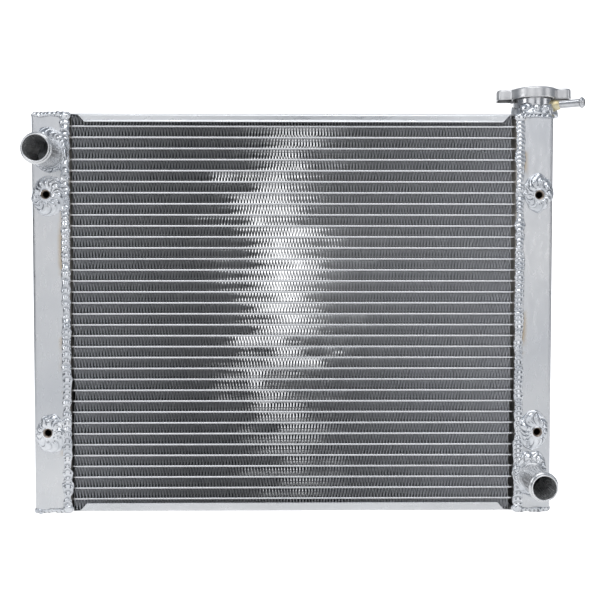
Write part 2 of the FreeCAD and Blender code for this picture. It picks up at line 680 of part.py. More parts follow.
# ---------------------------------------------------------------- cap
def cap_shell():
    """Pressed cap: a round cup with two hollow ears, and two lugs that hook under the neck's flange."""
    body = new_body("cap_shell")
    height = "(cap_high-cap_low)"
    skirt = FreeCAD.Placement(FreeCAD.Vector(0, 0, number("cap_low")), FreeCAD.Rotation())

    def skirt_sketch(name):
        sketch = new_sketch(body, "XY_Plane", name)
        sketch.AttachmentOffset = skirt
        return sketch

    disc = skirt_sketch("cap_disc")
    draw_circle(disc, "0", "0", "cap_radius")
    pad(body, disc, height)
    ears = skirt_sketch("ears")
    draw_outline(ears, [("-ear_reach", "-ear_half"), ("ear_reach", "-ear_half"),
                        ("ear_reach", "ear_half"), ("-ear_reach", "ear_half")])
    blank = pad(body, ears, height)
    top, half = number("cap_high"), number("ear_half")
    middle_height, shoulder = number("(cap_low+cap_high)/2"), number("ear_reach-ear_corner")

    def upright(edge, middle):
        return abs(middle.z - middle_height) < NEAR and abs(abs(middle.y) - half) < NEAR

    def at_tip(edge, middle):
        return upright(edge, middle) and abs(middle.x) > shoulder

    def at_root(edge, middle):
        return upright(edge, middle) and abs(middle.x) < shoulder

    def on_top(edge, middle):
        return all(abs(z - top) < NEAR for z in [middle.z] + [vertex.Z for vertex in edge.Vertexes])

    tips = fillet_edges(body, blank, "ear_corner", at_tip)
    roots = fillet_edges(body, tips, "ear_root", at_root)
    fillet_edges(body, roots, "cap_round", on_top)
    hollow = skirt_sketch("cap_hollow")
    draw_circle(hollow, "0", "0", "cap_radius-cap_sheet")
    pocket(body, hollow, f"{height}-cap_sheet", back=True)
    hollow_ears = skirt_sketch("ear_hollows")
    in_x, in_y = "(ear_reach-ear_wall)", "(ear_half-ear_wall)"
    draw_outline(hollow_ears, [
        (f"-{in_x}", f"-{in_y}+ear_clip"), (f"-{in_x}+ear_clip", f"-{in_y}"),
        (f"{in_x}-ear_clip", f"-{in_y}"), (in_x, f"-{in_y}+ear_clip"),
        (in_x, f"{in_y}-ear_clip"), (f"{in_x}-ear_clip", in_y),
        (f"-{in_x}+ear_clip", in_y), (f"-{in_x}", f"{in_y}-ear_clip"),
    ])
    pocket(body, hollow_ears, f"{height}-ear_wall", back=True)
    lugs = skirt_sketch("lugs")
    for sign in (-1, 1):
        draw_outline(lugs, [("-lug_half", f"{sign}*lug_inner"), ("lug_half", f"{sign}*lug_inner"),
                            ("lug_half", f"{sign}*lug_outer"), ("-lug_half", f"{sign}*lug_outer")])
    pad(body, lugs, "lug_thick")
    hole = new_sketch(body, "XY_Plane", "rivet_hole")
    draw_circle(hole, "0", "0", "rivet_radius")
    pocket(body, hole, "2*cap_high", back=True)
    at_neck(body, "cap_turned")
    keep(body, "cap_shell")


DISC_TOP = "(cap_high-cap_sheet)"  # under the cap's top sheet
BELL_TOP = "(cap_high-cap_sheet-disc_sheet)"
BELL_IN = "(cap_high-cap_sheet-disc_sheet-press_sheet)"
SEAL_LOW = "(seat_high+valve_gap)"
PLATE_LOW = "(seat_high+valve_gap+seal_thick)"
PLATE_TOP = "(seat_high+valve_gap+seal_thick+press_sheet)"


def cap_inside():
    """What the cap carries: gasket, spring disc, bell and rivet."""
    gasket_low = "flange_high+valve_gap"
    gasket_high = "flange_high+valve_gap+gasket_thick"
    parts = {
        "cap_gasket": [
            ("gasket_inner", gasket_low), ("disc_radius", gasket_low), ("disc_radius", gasket_high),
            ("gasket_inner", gasket_high),
        ],
        "cap_spring_disc": [
            ("rivet_radius", BELL_TOP), ("disc_flat", BELL_TOP), ("disc_radius", gasket_high),
            ("disc_radius", f"{gasket_high}+disc_sheet"), ("disc_flat", DISC_TOP), ("rivet_radius", DISC_TOP),
        ],
        "cap_bell": [
            ("rivet_radius", BELL_IN), ("bell_radius-press_sheet", BELL_IN),
            ("bell_radius-press_sheet", "bell_low+press_sheet"), ("bell_mouth", "bell_low+press_sheet"),
            ("bell_mouth", "bell_low"), ("bell_radius", "bell_low"), ("bell_radius", BELL_TOP),
            ("rivet_radius", BELL_TOP),
        ],
        "cap_rivet": [
            ("0", f"{BELL_IN}-rivet_rise"), ("rivet_head", f"{BELL_IN}-rivet_rise"), ("rivet_head", BELL_IN),
            ("rivet_radius", BELL_IN), ("rivet_radius", "cap_high"), ("rivet_head", "cap_high"),
            ("rivet_crown", "cap_high+rivet_rise"), ("0", "cap_high+rivet_rise"),
        ],
    }
    for name, points in parts.items():
        piece = turned(name, points)
        at_neck(piece)
        keep(piece, name)


def coil(name, mean, wire, low, high, turns):
    """A helical spring between two levels above the tank."""
    body = new_body(name)
    section = new_sketch(body, "XZ_Plane", name + "_wire")
    draw_circle(section, mean, f"{low}+{wire}", wire)
    helix = body.newObject("PartDesign::AdditiveHelix", "AdditiveHelix")
    helix.Profile = section
    helix.ReferenceAxis = (section, ["V_Axis"])
    helix.Mode = 0
    travel = f"({high}-{low}-2*{wire})"
    bind(helix, "Pitch", f"{travel}/{turns}")
    bind(helix, "Height", travel)
    at_neck(body)
    keep(body, name)


def cap_valves():
    """The pressure valve, and the vacuum valve that it carries."""
    cup_top = f"{PLATE_LOW}+cup_rise"
    plate = turned("cap_pressure_plate", [
        ("plate_hole", PLATE_LOW), ("plate_radius", PLATE_LOW), ("plate_radius", PLATE_TOP), ("cup_radius", PLATE_TOP),
        ("cup_radius", cup_top), ("cup_lip", cup_top), ("cup_lip", f"{cup_top}+press_sheet"),
        ("cup_radius-press_sheet", f"{cup_top}+press_sheet"), ("cup_radius-press_sheet", PLATE_TOP),
        ("plate_hole", PLATE_TOP),
    ])
    seal = turned("cap_pressure_seal", [
        ("seal_hole", SEAL_LOW), ("seal_radius", SEAL_LOW), ("seal_radius", PLATE_LOW), ("seal_hole", PLATE_LOW),
    ])
    valve_top = f"({SEAL_LOW}-valve_gap)"
    head_low = "(vacuum_high-vacuum_head_thick)"
    valve = turned("cap_vacuum_valve", [
        ("0", f"{valve_top}-vacuum_thick"), ("vacuum_radius", f"{valve_top}-vacuum_thick"),
        ("vacuum_radius", valve_top), ("vacuum_stem", valve_top), ("vacuum_stem", head_low),
        ("vacuum_head", head_low), ("vacuum_head", "vacuum_high"), ("0", "vacuum_high"),
    ])
    for piece in (plate, seal, valve):
        at_neck(piece)
        keep(piece, piece.Name)
    coil("cap_pressure_spring", "spring_mean", "spring_wire", PLATE_TOP, BELL_IN, "spring_turns")
    coil("cap_vacuum_spring", "vacuum_mean", "vacuum_wire", PLATE_TOP, head_low, "vacuum_turns")


# ---------------------------------------------------------------- build, check, write
for side_name, side_sign in SIDES:
    tank_shell(side_name, side_sign)
    tank_end(side_name, side_sign, "top", 1)
    tank_end(side_name, side_sign, "bottom", -1)
    header(side_name, side_sign)
    seam_welds(side_name, side_sign)
core_tubes()
core_fins()
side_plate("top", 1)
side_plate("bottom", -1)
pipe("inlet", "left")
pipe("outlet", "right")
mounting_bosses()
filler_neck()
overflow_nipple()
neck_weld()
cap_shell()
cap_inside()
cap_valves()
doc.recompute()

for thing in doc.Objects:
    assert not {"Invalid", "Error"} & set(thing.State), f"{thing.Label}: {thing.State}"
os.makedirs("parts", exist_ok=True)
for node in nodes:
    assert not node.Shape.isNull() and node.Shape.isValid(), f"{node.Label} has a bad shape"
    assert node.Shape.Solids, f"{node.Label} has no solid"
    node.Shape.exportStep(f"parts/{node.Label}.step")
    print(f"{node.Label}: {len(node.Shape.Solids)} solid(s), {node.Shape.Volume / 1000:.3f} cm3")
print(len(nodes), "nodes")
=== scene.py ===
"""Looks of a cross-flow aluminium radiator, built round its CAD frame. Metres, +Z up; its front faces -Y."""
import math

import bpy
import numpy as np
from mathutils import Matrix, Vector


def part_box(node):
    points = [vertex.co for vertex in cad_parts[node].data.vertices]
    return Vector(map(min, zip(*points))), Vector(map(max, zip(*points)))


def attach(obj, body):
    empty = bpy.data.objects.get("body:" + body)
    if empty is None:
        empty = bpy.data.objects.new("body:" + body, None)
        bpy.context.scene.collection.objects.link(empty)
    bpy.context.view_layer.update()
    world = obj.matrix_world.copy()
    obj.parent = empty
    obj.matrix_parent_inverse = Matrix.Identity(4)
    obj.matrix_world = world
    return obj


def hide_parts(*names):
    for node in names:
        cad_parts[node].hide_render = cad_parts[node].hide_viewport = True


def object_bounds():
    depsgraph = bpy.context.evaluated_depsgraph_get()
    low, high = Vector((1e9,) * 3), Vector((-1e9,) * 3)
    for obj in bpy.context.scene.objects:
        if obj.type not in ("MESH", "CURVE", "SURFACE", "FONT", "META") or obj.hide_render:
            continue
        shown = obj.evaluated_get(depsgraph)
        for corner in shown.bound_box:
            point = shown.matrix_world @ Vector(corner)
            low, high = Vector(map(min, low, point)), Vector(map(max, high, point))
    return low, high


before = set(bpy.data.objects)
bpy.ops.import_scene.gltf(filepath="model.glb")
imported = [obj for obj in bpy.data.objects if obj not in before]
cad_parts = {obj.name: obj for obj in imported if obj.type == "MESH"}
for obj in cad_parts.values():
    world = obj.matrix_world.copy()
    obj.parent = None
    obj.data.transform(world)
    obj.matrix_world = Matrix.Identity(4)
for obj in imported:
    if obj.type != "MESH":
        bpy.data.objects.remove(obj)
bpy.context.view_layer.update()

MM = 0.001
ROOT = "radiator"
rng = np.random.default_rng(27)


def span(node):
    """A CAD node's lowest and highest corner at rest, as arrays."""
    low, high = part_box(node)
    return np.array(low), np.array(high)


# ---------------------------------------------------------------- sizes, from the frame
shell_low, shell_high = span("right_tank_shell")
fins_low, fins_high = span("core_fins")
tubes_low, tubes_high = span("core_tubes")
inlet_low, inlet_high = span("inlet_pipe")
outlet_low, outlet_high = span("outlet_pipe")
neck_low, neck_high = span("filler_neck")
boss_low, boss_high = span("mounting_bosses")
nipple_low, nipple_high = span("overflow_nipple")

FRONT, REAR = shell_low[1], shell_high[1]
ROOF = span("right_tank_top_plate")[1][2]
OUTER, INNER = shell_high[0], span("right_header")[0][0]
TUBE_LEVELS = 35
TUBE_THICK = 2.0 * MM
TUBE_PITCH = (tubes_high[2] - tubes_low[2] - TUBE_THICK) / (TUBE_LEVELS - 1)
CORE_FRONT, CORE_REAR = fins_low[1], fins_high[1]
BOSS_RADIUS = 7.0 * MM
BOSS_X, BOSS_Z, BOSS_FACE = boss_high[0] - BOSS_RADIUS, boss_high[2] - BOSS_RADIUS, boss_low[1]
NECK_X, NECK_Y = (neck_low[0] + neck_high[0]) / 2, (neck_low[1] + neck_high[1]) / 2
NECK_RADIUS = 18.5 * MM
NIPPLE_Z = (nipple_low[2] + nipple_high[2]) / 2
INLET_RADIUS, OUTLET_RADIUS = 12.7 * MM, 12.0 * MM
INLET_X, INLET_Z = (inlet_low[0] + inlet_high[0]) / 2, (inlet_low[2] + inlet_high[2]) / 2
OUTLET_X, OUTLET_Z = (outlet_low[0] + outlet_high[0]) / 2, (outlet_low[2] + outlet_high[2]) / 2
SEAM_WIDE = 8.2 * MM
SEAM_EDGE = INNER + 7.5 * MM  # where the tank sheet comes out from under the seam bead
SIDES = (("left", -1), ("right", 1))
ENDS = (("top", 1), ("bottom", -1))
FACES = (("front", FRONT, -1), ("rear", REAR, 1))


# ---------------------------------------------------------------- materials
def nodes_of(name):
    """A new material with its node tree and its shader."""
    material = bpy.data.materials.new(name)
    material.use_nodes = True
    tree = material.node_tree
    return material, tree, tree.nodes["Principled BSDF"]


def add(tree, kind, **settings):
    """A new node with its settings."""
    node = tree.nodes.new(kind)
    for key, value in settings.items():
        setattr(node, key, value)
    return node


def place_of(tree, source="Object"):
    """X, Y and Z as separate values, in the object's own metres unless source says otherwise."""
    place = add(tree, "ShaderNodeTexCoord")
    parts = add(tree, "ShaderNodeSeparateXYZ")
    tree.links.new(place.outputs[source], parts.inputs["Vector"])
    return parts.outputs["X"], parts.outputs["Y"], parts.outputs["Z"]


def noise_at(tree, scale, detail, stretch=(1, 1, 1)):
    """A noise texture in the object's own metres."""
    place = add(tree, "ShaderNodeTexCoord")
    mapping = add(tree, "ShaderNodeMapping")
    mapping.inputs["Scale"].default_value = stretch
    noise = add(tree, "ShaderNodeTexNoise")
    noise.inputs["Scale"].default_value = scale
    noise.inputs["Detail"].default_value = detail
    tree.links.new(place.outputs["Object"], mapping.inputs["Vector"])
    tree.links.new(mapping.outputs["Vector"], noise.inputs["Vector"])
    return noise.outputs["Fac"]


def ramp(tree, value, stops):
    """A colour ramp; each stop is a position and a colour or a grey."""
    node = add(tree, "ShaderNodeValToRGB")
    elements = node.color_ramp.elements
    while len(elements) < len(stops):
        elements.new(0.5)
    for element, (place, colour) in zip(elements, stops):
        element.position = place
        element.color = (*colour, 1.0) if isinstance(colour, tuple) else (colour, colour, colour, 1.0)
    tree.links.new(value, node.inputs["Fac"])
    return node.outputs["Color"]


def bump(tree, shader, value, strength, distance):
    """Fine relief on a surface, from a 0 to 1 height."""
    node = add(tree, "ShaderNodeBump")
    node.inputs["Strength"].default_value = strength
    node.inputs["Distance"].default_value = distance
    tree.links.new(value, node.inputs["Height"])
    tree.links.new(node.outputs["Normal"], shader.inputs["Normal"])


GRAIN_DEPTH = 0.02 * MM


def metal(name, dark, light, rough, cloud, grain=500.0, stretch=(1, 1, 1), relief=0.08):
    """Bare metal: tone drifts in clouds from dark to light, and a fine grain varies the roughness."""
    material, tree, shader = nodes_of(name)
    shader.inputs["Metallic"].default_value = 1.0
    clouds = noise_at(tree, cloud, 4.0)
    tree.links.new(ramp(tree, clouds, [(0.3, dark), (0.7, light)]), shader.inputs["Base Color"])
    streaks = noise_at(tree, grain, 3.0, stretch)
    tree.links.new(ramp(tree, streaks, [(0.3, rough[0]), (0.7, rough[1])]), shader.inputs["Roughness"])
    bump(tree, shader, streaks, relief, GRAIN_DEPTH)
    return material, tree, shader


def plain_metal(name, colour, roughness):
    """Metal of one tone with a fine grain, for the small pieces."""
    material, tree, shader = nodes_of(name)
    shader.inputs["Metallic"].default_value = 1.0
    shader.inputs["Base Color"].default_value = (*colour, 1.0)
    shader.inputs["Roughness"].default_value = roughness
    bump(tree, shader, noise_at(tree, 900.0, 2.0), 0.1, GRAIN_DEPTH)
    return material


def rubber(name):
    """Moulded black rubber."""
    material, tree, shader = nodes_of(name)
    shader.inputs["Base Color"].default_value = (0.02, 0.02, 0.02, 1.0)
    shader.inputs["Roughness"].default_value = 0.7
    bump(tree, shader, noise_at(tree, 1500.0, 2.0), 0.2, 0.05 * MM)
    return material


def darken(tree, shader, amount, colour):
    """Mix a darker colour into the base colour by a 0 to 1 amount."""
    mix = add(tree, "ShaderNodeMix", data_type="RGBA")
    mix.inputs["B"].default_value = (*colour, 1.0)
    before = shader.inputs["Base Color"].links[0].from_socket
    tree.links.new(amount, mix.inputs["Factor"])
    tree.links.new(before, mix.inputs["A"])
    tree.links.new(mix.outputs["Result"], shader.inputs["Base Color"])


def calc(tree, operation, one, two=None, clamp=False):
    """Arithmetic on sockets and plain numbers."""
    node = add(tree, "ShaderNodeMath", operation=operation, use_clamp=clamp)
    for socket, value in zip(node.inputs, (one, two)):
        if isinstance(value, (int, float)):
            socket.default_value = value
        elif value is not None:
            tree.links.new(value, socket)
    return node.outputs["Value"]


def fade(tree, value, start, end, low, high):
    """A smooth step between two levels."""
    node = add(tree, "ShaderNodeMapRange", interpolation_type="SMOOTHSTEP")
    for name, number in (("From Min", start), ("From Max", end), ("To Min", low), ("To Max", high)):
        node.inputs[name].default_value = number
    tree.links.new(value, node.inputs["Value"])
    return node.outputs["Result"]


def heat_tint(tree, shader):
    """Patches of straw and brown oxide beside the header seams."""
    tint_wide = 4.5 * MM
    away = calc(tree, "SUBTRACT", calc(tree, "ABSOLUTE", place_of(tree)[0]), SEAM_EDGE)
    near = calc(tree, "SUBTRACT", 1.0, calc(tree, "DIVIDE", away, tint_wide), clamp=True)
    patches = ramp(tree, noise_at(tree, 26.0, 3.0), [(0.56, 0.0), (0.66, 1.0)])
    amount = calc(tree, "MULTIPLY", calc(tree, "MULTIPLY", near, patches), 0.75)
    darken(tree, shader, amount, (0.46, 0.33, 0.17))


def painted_hollow_shade(tree, shader, colour, strength):
    """Painted shade: a dark colour mixed into the hollows, where the mesh's groove attribute says so."""
    groove = add(tree, "ShaderNodeAttribute", attribute_name="groove")
    darken(tree, shader, calc(tree, "MULTIPLY", groove.outputs["Fac"], strength), colour)


# The foils' painted light and shade levels are set at these places along the core.
FOIL_PLACES = (0.02, 0.15, 0.27, 0.40, 0.60, 0.75, 0.88, 0.98)  # shares of the core's length, from the left
FOIL_TINT = np.array((0.985, 0.99, 1.02))


def foil(name, painted_levels, roughness, metallic):
    """Brazed foil with painted light and shade: its colour steps darker and lighter along the core, standing
    in for how the light falls on the fins.
    """
    material, tree, shader = nodes_of(name)
    shader.inputs["Metallic"].default_value = metallic
    along = add(tree, "ShaderNodeMapRange")
    along.inputs["From Min"].default_value, along.inputs["From Max"].default_value = -INNER, INNER
    tree.links.new(place_of(tree)[0], along.inputs["Value"])
    stops = [(share, tuple(FOIL_TINT * tone)) for share, tone in zip(FOIL_PLACES, painted_levels)]
    tree.links.new(ramp(tree, along.outputs["Result"], stops), shader.inputs["Base Color"])
    shader.inputs["Roughness"].default_value = roughness
    return material


# How the grain is stretched on each kind of metal.
ROLLED_UP, ROLLED_ALONG, SPUN, DRAWN = (1, 1, 0.25), (0.25, 1, 1), (0.1, 0.1, 1), (1, 0.06, 1)

sheet_metal, tree, shader = metal("tank_sheet", (0.60, 0.61, 0.63), (0.72, 0.72, 0.72), (0.24, 0.36),
                                  9.0, 260.0, ROLLED_UP, 0.05)
heat_tint(tree, shader)
side_metal, _, _ = metal("side_sheet", (0.66, 0.665, 0.67), (0.74, 0.745, 0.75), (0.24, 0.36),
                         14.0, 260.0, ROLLED_ALONG, 0.05)
plate_metal, tree, shader = metal("header_plate", (0.44, 0.41, 0.37), (0.70, 0.66, 0.61), (0.40, 0.60),
                                  40.0)
# Darker towards the bottom of the headers.
darken(tree, shader, fade(tree, place_of(tree)[2], -120 * MM, 90 * MM, 0.9, 0.0), (0.07, 0.065, 0.06))
weld_metal, tree, shader = metal("weld_bead", (0.58, 0.60, 0.63), (0.88, 0.885, 0.895), (0.08, 0.22),
                                 70.0, 600.0)
# Painted shade in the grooves between the ripples and along the beads' edges.
painted_hollow_shade(tree, shader, (0.12, 0.13, 0.15), 0.88)
pipe_metal, tree, shader = metal("pipe_alloy", (0.68, 0.68, 0.68), (0.84, 0.84, 0.84), (0.18, 0.30),
                                 50.0, 700.0, DRAWN, 0.10)
inside = add(tree, "ShaderNodeAttribute", attribute_name="groove")
tree.links.new(calc(tree, "SUBTRACT", 1.0, inside.outputs["Fac"]), shader.inputs["Metallic"])
boss_metal, tree, shader = metal("boss_alloy", (0.20, 0.15, 0.11), (0.48, 0.42, 0.37), (0.24, 0.42),
                                 190.0, 700.0)
# Painted shade down the bosses' holes.
painted_hollow_shade(tree, shader, (0.03, 0.02, 0.015), 1.0)
neck_metal, tree, shader = metal("neck_alloy", (0.60, 0.60, 0.61), (0.80, 0.80, 0.81), (0.12, 0.24),
                                 60.0, 500.0, SPUN)
# Painted shade down the overflow tube's bore.
painted_hollow_shade(tree, shader, (0.02, 0.02, 0.02), 1.0)
braze_metal, _, _ = metal("braze_alloy", (0.60, 0.50, 0.28), (0.84, 0.78, 0.56), (0.30, 0.48),
                          260.0, 700.0)
cap_metal, _, _ = metal("cap_steel", (0.68, 0.67, 0.665), (0.80, 0.795, 0.79), (0.28, 0.40),
                        60.0, 300.0, SPUN, 0.15)
inner_metal = plain_metal("inner_steel", (0.62, 0.62, 0.63), 0.3)
spring_metal = plain_metal("spring_steel", (0.55, 0.55, 0.56), 0.3)
tube_metal = plain_metal("tube_strip", (0.68, 0.68, 0.685), 0.22)
# Lit and shaded copies of one foil: painted light on the strips' upper faces and painted shade on their under
# faces. Both are darkest a quarter of the way along the core and lightest towards its right end.
fin_upper_painted_light = foil("fin_foil_upper_painted_light", (0.90, 0.72, 0.58, 0.64, 0.80, 0.93, 0.99, 0.99), 0.36, 0.60)
fin_under_painted_shade = foil("fin_foil_under_painted_shade", (0.20, 0.14, 0.10, 0.12, 0.24, 0.40, 0.62, 0.98), 0.38, 0.80)
seal_rubber = rubber("seal_rubber")

NODE_METALS = {
    sheet_metal: [f"{side}_tank_{part}" for side, _ in SIDES
                  for part in ("shell", "top_plate", "bottom_plate")],
    plate_metal: ["left_header", "right_header"],
    tube_metal: ["core_tubes"],
    neck_metal: ["filler_neck"],
    cap_metal: ["cap_rivet"],
    inner_metal: ["cap_spring_disc", "cap_bell", "cap_pressure_plate", "cap_vacuum_valve"],
    spring_metal: ["cap_pressure_spring", "cap_vacuum_spring"],
    seal_rubber: ["cap_gasket", "cap_pressure_seal"],
}
for material, names in NODE_METALS.items():
    for name in names:
        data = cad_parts[name].data
        data.materials.clear()
        data.materials.append(material)


# ---------------------------------------------------------------- meshes
def new_piece(name, points, faces, material, replaces=(), body=ROOT, crease=40.0, groove=None):
    """A named mesh that rides on a body; groove is 0 to 1 at each point, for the painted shade in the
    hollows, and on the hose pipes for how far the metal is less metallic.
    """
    mesh = bpy.data.meshes.new(name)
    mesh.from_pydata([tuple(p) for p in points], [], faces)
    if groove is not None:
        dark = mesh.attributes.new("groove", "FLOAT", "POINT")
        dark.data.foreach_set("value", np.clip(groove, 0, 1).ravel())
    mesh.update()
    mesh.shade_smooth()
    mesh.set_sharp_from_angle(angle=math.radians(crease))
    piece = bpy.data.objects.new(name, mesh)
    bpy.context.scene.collection.objects.link(piece)
    mesh.materials.append(material)
    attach(piece, body)
    if replaces:
        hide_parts(*replaces)
    return piece


def grid_faces(rows, columns, closed_rows=False, closed_columns=False):
    """Four-sided faces between the points of a grid, joined up end to end where it is closed."""
    faces = []
    for i in range(rows if closed_rows else rows - 1):
        for j in range(columns if closed_columns else columns - 1):
            a, b = i * columns + j, i * columns + (j + 1) % columns
            c, d = (i + 1) % rows * columns + (j + 1) % columns, (i + 1) % rows * columns + j
            faces.append((a, b, c, d))
    return faces


def smooth_random(count, step, amount):
    """A slowly wandering value: random knots every few steps, joined smoothly."""
    knots = rng.normal(0.0, amount, int(count / step) + 3)
    places = np.arange(count) / step
    low = places.astype(int)
    part = (1 - np.cos((places - low) * math.pi)) / 2
    return knots[low] * (1 - part) + knots[low + 1] * part


# ---------------------------------------------------------------- fins
FIN_ROWS = TUBE_LEVELS + 1
FIN_HEIGHT = TUBE_PITCH - TUBE_THICK
FIRST_FIN = -FIN_ROWS / 2 * TUBE_PITCH + TUBE_THICK / 2 + (tubes_low[2] + tubes_high[2]) / 2
FOLDS = 142
FIN_REACH = 2.4 * MM  # how much nearer to the right header than the stand-in the foil ends
FIN_INSET = 0.2 * MM  # how far the foil stays behind the core's faces
FOIL = 0.14 * MM
FOLD_ARC = 5  # points round each fold
FOLD_RADIUS = 0.15 * MM
FOLD_SWEEP = math.radians(80.0)  # half of the turn round each fold
LEG_POINTS = 2  # points between folds, to carry the bow
LEG_BOW, BOW_KNOTS = 0.26 * MM, 40  # how much the legs bow, and how many times a strip the bow changes
PITCH_DRIFT = 0.12 * MM
LEAN_DRIFT = 0.75  # degrees
CHANNEL_BEND = 0.6 * MM  # how far the louvres push each leg aside, half way back
FOLD_SKEW = 0.8 * MM  # how far the core's ends have pushed each strip's top folds past its bottom ones


def fin_line(pitch, height, bow):
    """One strip's middle line: slanted legs joined by round folds, bowed a little between the tubes."""
    reach = height / 2 - FOIL / 2 - FOLD_RADIUS
    line = []
    for fold in range(2 * FOLDS + 1):
        side = 1 if fold % 2 else -1
        if fold:
            x, z = line[-1]
            run, climb = fold * pitch / 2 - FOLD_RADIUS * math.sin(FOLD_SWEEP) - x, side * reach - z
            steps = range(1, LEG_POINTS + 1)
            line += [(x + run * k / (LEG_POINTS + 1), z + climb * k / (LEG_POINTS + 1)) for k in steps]
        for k in range(FOLD_ARC):
            angle = FOLD_SWEEP * (2 * k / (FOLD_ARC - 1) - 1)
            rise = reach + FOLD_RADIUS * math.cos(angle)
            line.append((fold * pitch / 2 + FOLD_RADIUS * math.sin(angle), side * rise))
    line = np.array(line)
    drift = np.interp(line[:, 0], np.linspace(0, FOLDS * pitch, len(bow)), bow)
    line[:, 0] += drift * (1 - (line[:, 1] / (height / 2)) ** 2)
    return line


def offset_line(line, amount):
    """The line moved sideways."""
    tangent = np.gradient(line, axis=0)
    tangent /= np.linalg.norm(tangent, axis=1)[:, None]
    return line + amount * np.stack([-tangent[:, 1], tangent[:, 0]], axis=1)


def fin_row(row, lean):
    """A corrugated foil strip the depth of the core, whose channels lean a little off square."""
    low = fins_low[2] if row == 0 else FIRST_FIN + row * TUBE_PITCH
    high = fins_high[2] if row == FIN_ROWS - 1 else FIRST_FIN + row * TUBE_PITCH + FIN_HEIGHT
    length = fins_high[0] + FIN_REACH - fins_low[0]
    line = fin_line(length / FOLDS, high - low, rng.normal(0.0, LEG_BOW, BOW_KNOTS))
    line[:, 0] += smooth_random(len(line), 90, PITCH_DRIFT)
    line[:, 0] = fins_low[0] + (line[:, 0] - line[:, 0].min()) * length / np.ptp(line[:, 0])
    line[:, 0] += line[:, 1] / (high - low) * FOLD_SKEW * line[:, 0] / fins_high[0]
    local_lean = np.tan(np.radians(lean + smooth_random(len(line), 110, LEAN_DRIFT)))
    middle, half_deep = (low + high) / 2, (CORE_REAR - CORE_FRONT) / 2 - FIN_INSET
    inner = 1 - (2 * line[:, 1] / (high - low)) ** 4
    rings = []
    for share in (-1, 0, 1):
        depth = (CORE_FRONT + CORE_REAR) / 2 + share * half_deep
        for side in (1, -1):
            edge = offset_line(line, side * FOIL / 2)
            across = edge[:, 0] + share * half_deep * local_lean + (1 - share ** 2) * CHANNEL_BEND * inner
            rings.append(np.stack([across, np.full(len(edge), depth), edge[:, 1] + middle], axis=1))
    count = len(line)
    rows = (np.arange(count) + k * count for k in range(6))
    front_up, front_down, mid_up, mid_down, rear_up, rear_down = rows
    faces = []
    for one, two in ((front_up, mid_up), (mid_up, rear_up), (rear_down, mid_down), (mid_down, front_down),
                     (front_down, front_up), (rear_up, rear_down)):
        faces += [(one[i], one[i + 1], two[i + 1], two[i]) for i in range(count - 1)]
    last = count - 1
    end = (front_up, mid_up, rear_up, rear_down, mid_down, front_down)
    faces.append(tuple(side[0] for side in end))
    faces.append((end[0][last], *(side[last] for side in reversed(end[1:]))))
    strip = new_piece(f"fin_row_{row + 1:02d}", np.concatenate(rings), [tuple(map(int, f)) for f in faces],
                      fin_upper_painted_light)
    # The under side gets the painted shade copy of the foil; the upper side and the edges keep the painted
    # light copy.
    strip.data.materials.append(fin_under_painted_shade)  # for the foil's under side
    under = np.zeros(len(strip.data.polygons), dtype=np.int32)
    under[2 * (count - 1):4 * (count - 1)] = 1
    strip.data.polygons.foreach_set("material_index", under)
    return strip


LEAN_ROWS = (0, 6, 9, 11, 13, 17, 20, 24, 28, 31, 34, 35)  # rows counted from the bottom
LEAN = (0.3, 0.1, -1.0, -2.0, -0.6, -0.3, -0.6, -0.3, -0.6, -0.7, 0.2, -0.2)  # degrees, at those rows
LEAN_SPREAD = 0.45  # degrees
leans = np.interp(np.arange(FIN_ROWS), LEAN_ROWS, LEAN) + rng.normal(0.0, LEAN_SPREAD, FIN_ROWS)
fin_rows = [fin_row(row, leans[row]) for row in range(FIN_ROWS)]
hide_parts("core_fins")


# ---------------------------------------------------------------- welds
class Coins:
    """A run of overlapping weld ripples: where each starts, and how high and how bowed it is."""

    def __init__(self, length, pitch, spread=0.16, bow=0.8, closed=False):
        count = max(3, round(length / pitch))
        gaps = np.maximum(0.45, rng.normal(1.0, spread, count))
        starts = np.cumsum(gaps) / gaps.sum() * length
        heights = np.clip(rng.normal(1.0, spread, count), 0.6, 1.35)
        if closed:
            starts = np.concatenate([starts - 2 * length, starts - length, starts, starts + length])
            heights = np.tile(heights, 4)
        else:
            starts = np.concatenate([[-2 * pitch, -pitch, 0.0], starts, [length + pitch, length + 2 * pitch]])
            heights = np.concatenate([[1.0, 1.0, 1.0], heights, [1.0, 1.0]])
        self.starts, self.heights, self.bow = starts, heights, bow * pitch

    def at(self, along, across):
        """Height 0 to about 1 and groove 0 to 1; across runs from -1 to 1."""
        edges = self.starts + self.bow * (math.sqrt(max(0.0, 1 - across * across)) - 0.5)
        place = np.clip(np.searchsorted(edges, along) - 1, 0, len(edges) - 2)
        part = (along - edges[place]) / (edges[place + 1] - edges[place])
        hump = np.sin(math.pi * np.clip(part, 0, 1) ** 0.6)
        fine = 0.05 * np.sin(6 * math.pi * part)
        groove = np.exp(-part * 9) + np.exp(-(1 - part) * 14)
        return self.heights[place] * (0.34 + 0.66 * np.abs(hump) ** 0.75) + fine * hump, groove


def ring_random(count, step, amount):
    """A slowly wandering value that meets itself at the end of a loop."""
    value = smooth_random(count, step, amount)
    blend = np.clip((np.arange(count) - (count - 2 * step)) / (2 * step), 0, 1)
    return value * (1 - blend) + value[0] * blend


WELD_SINK = 0.4 * MM  # how far a weld's back lies inside the metal under it
BEAD_SECTION = 17  # points across a bead


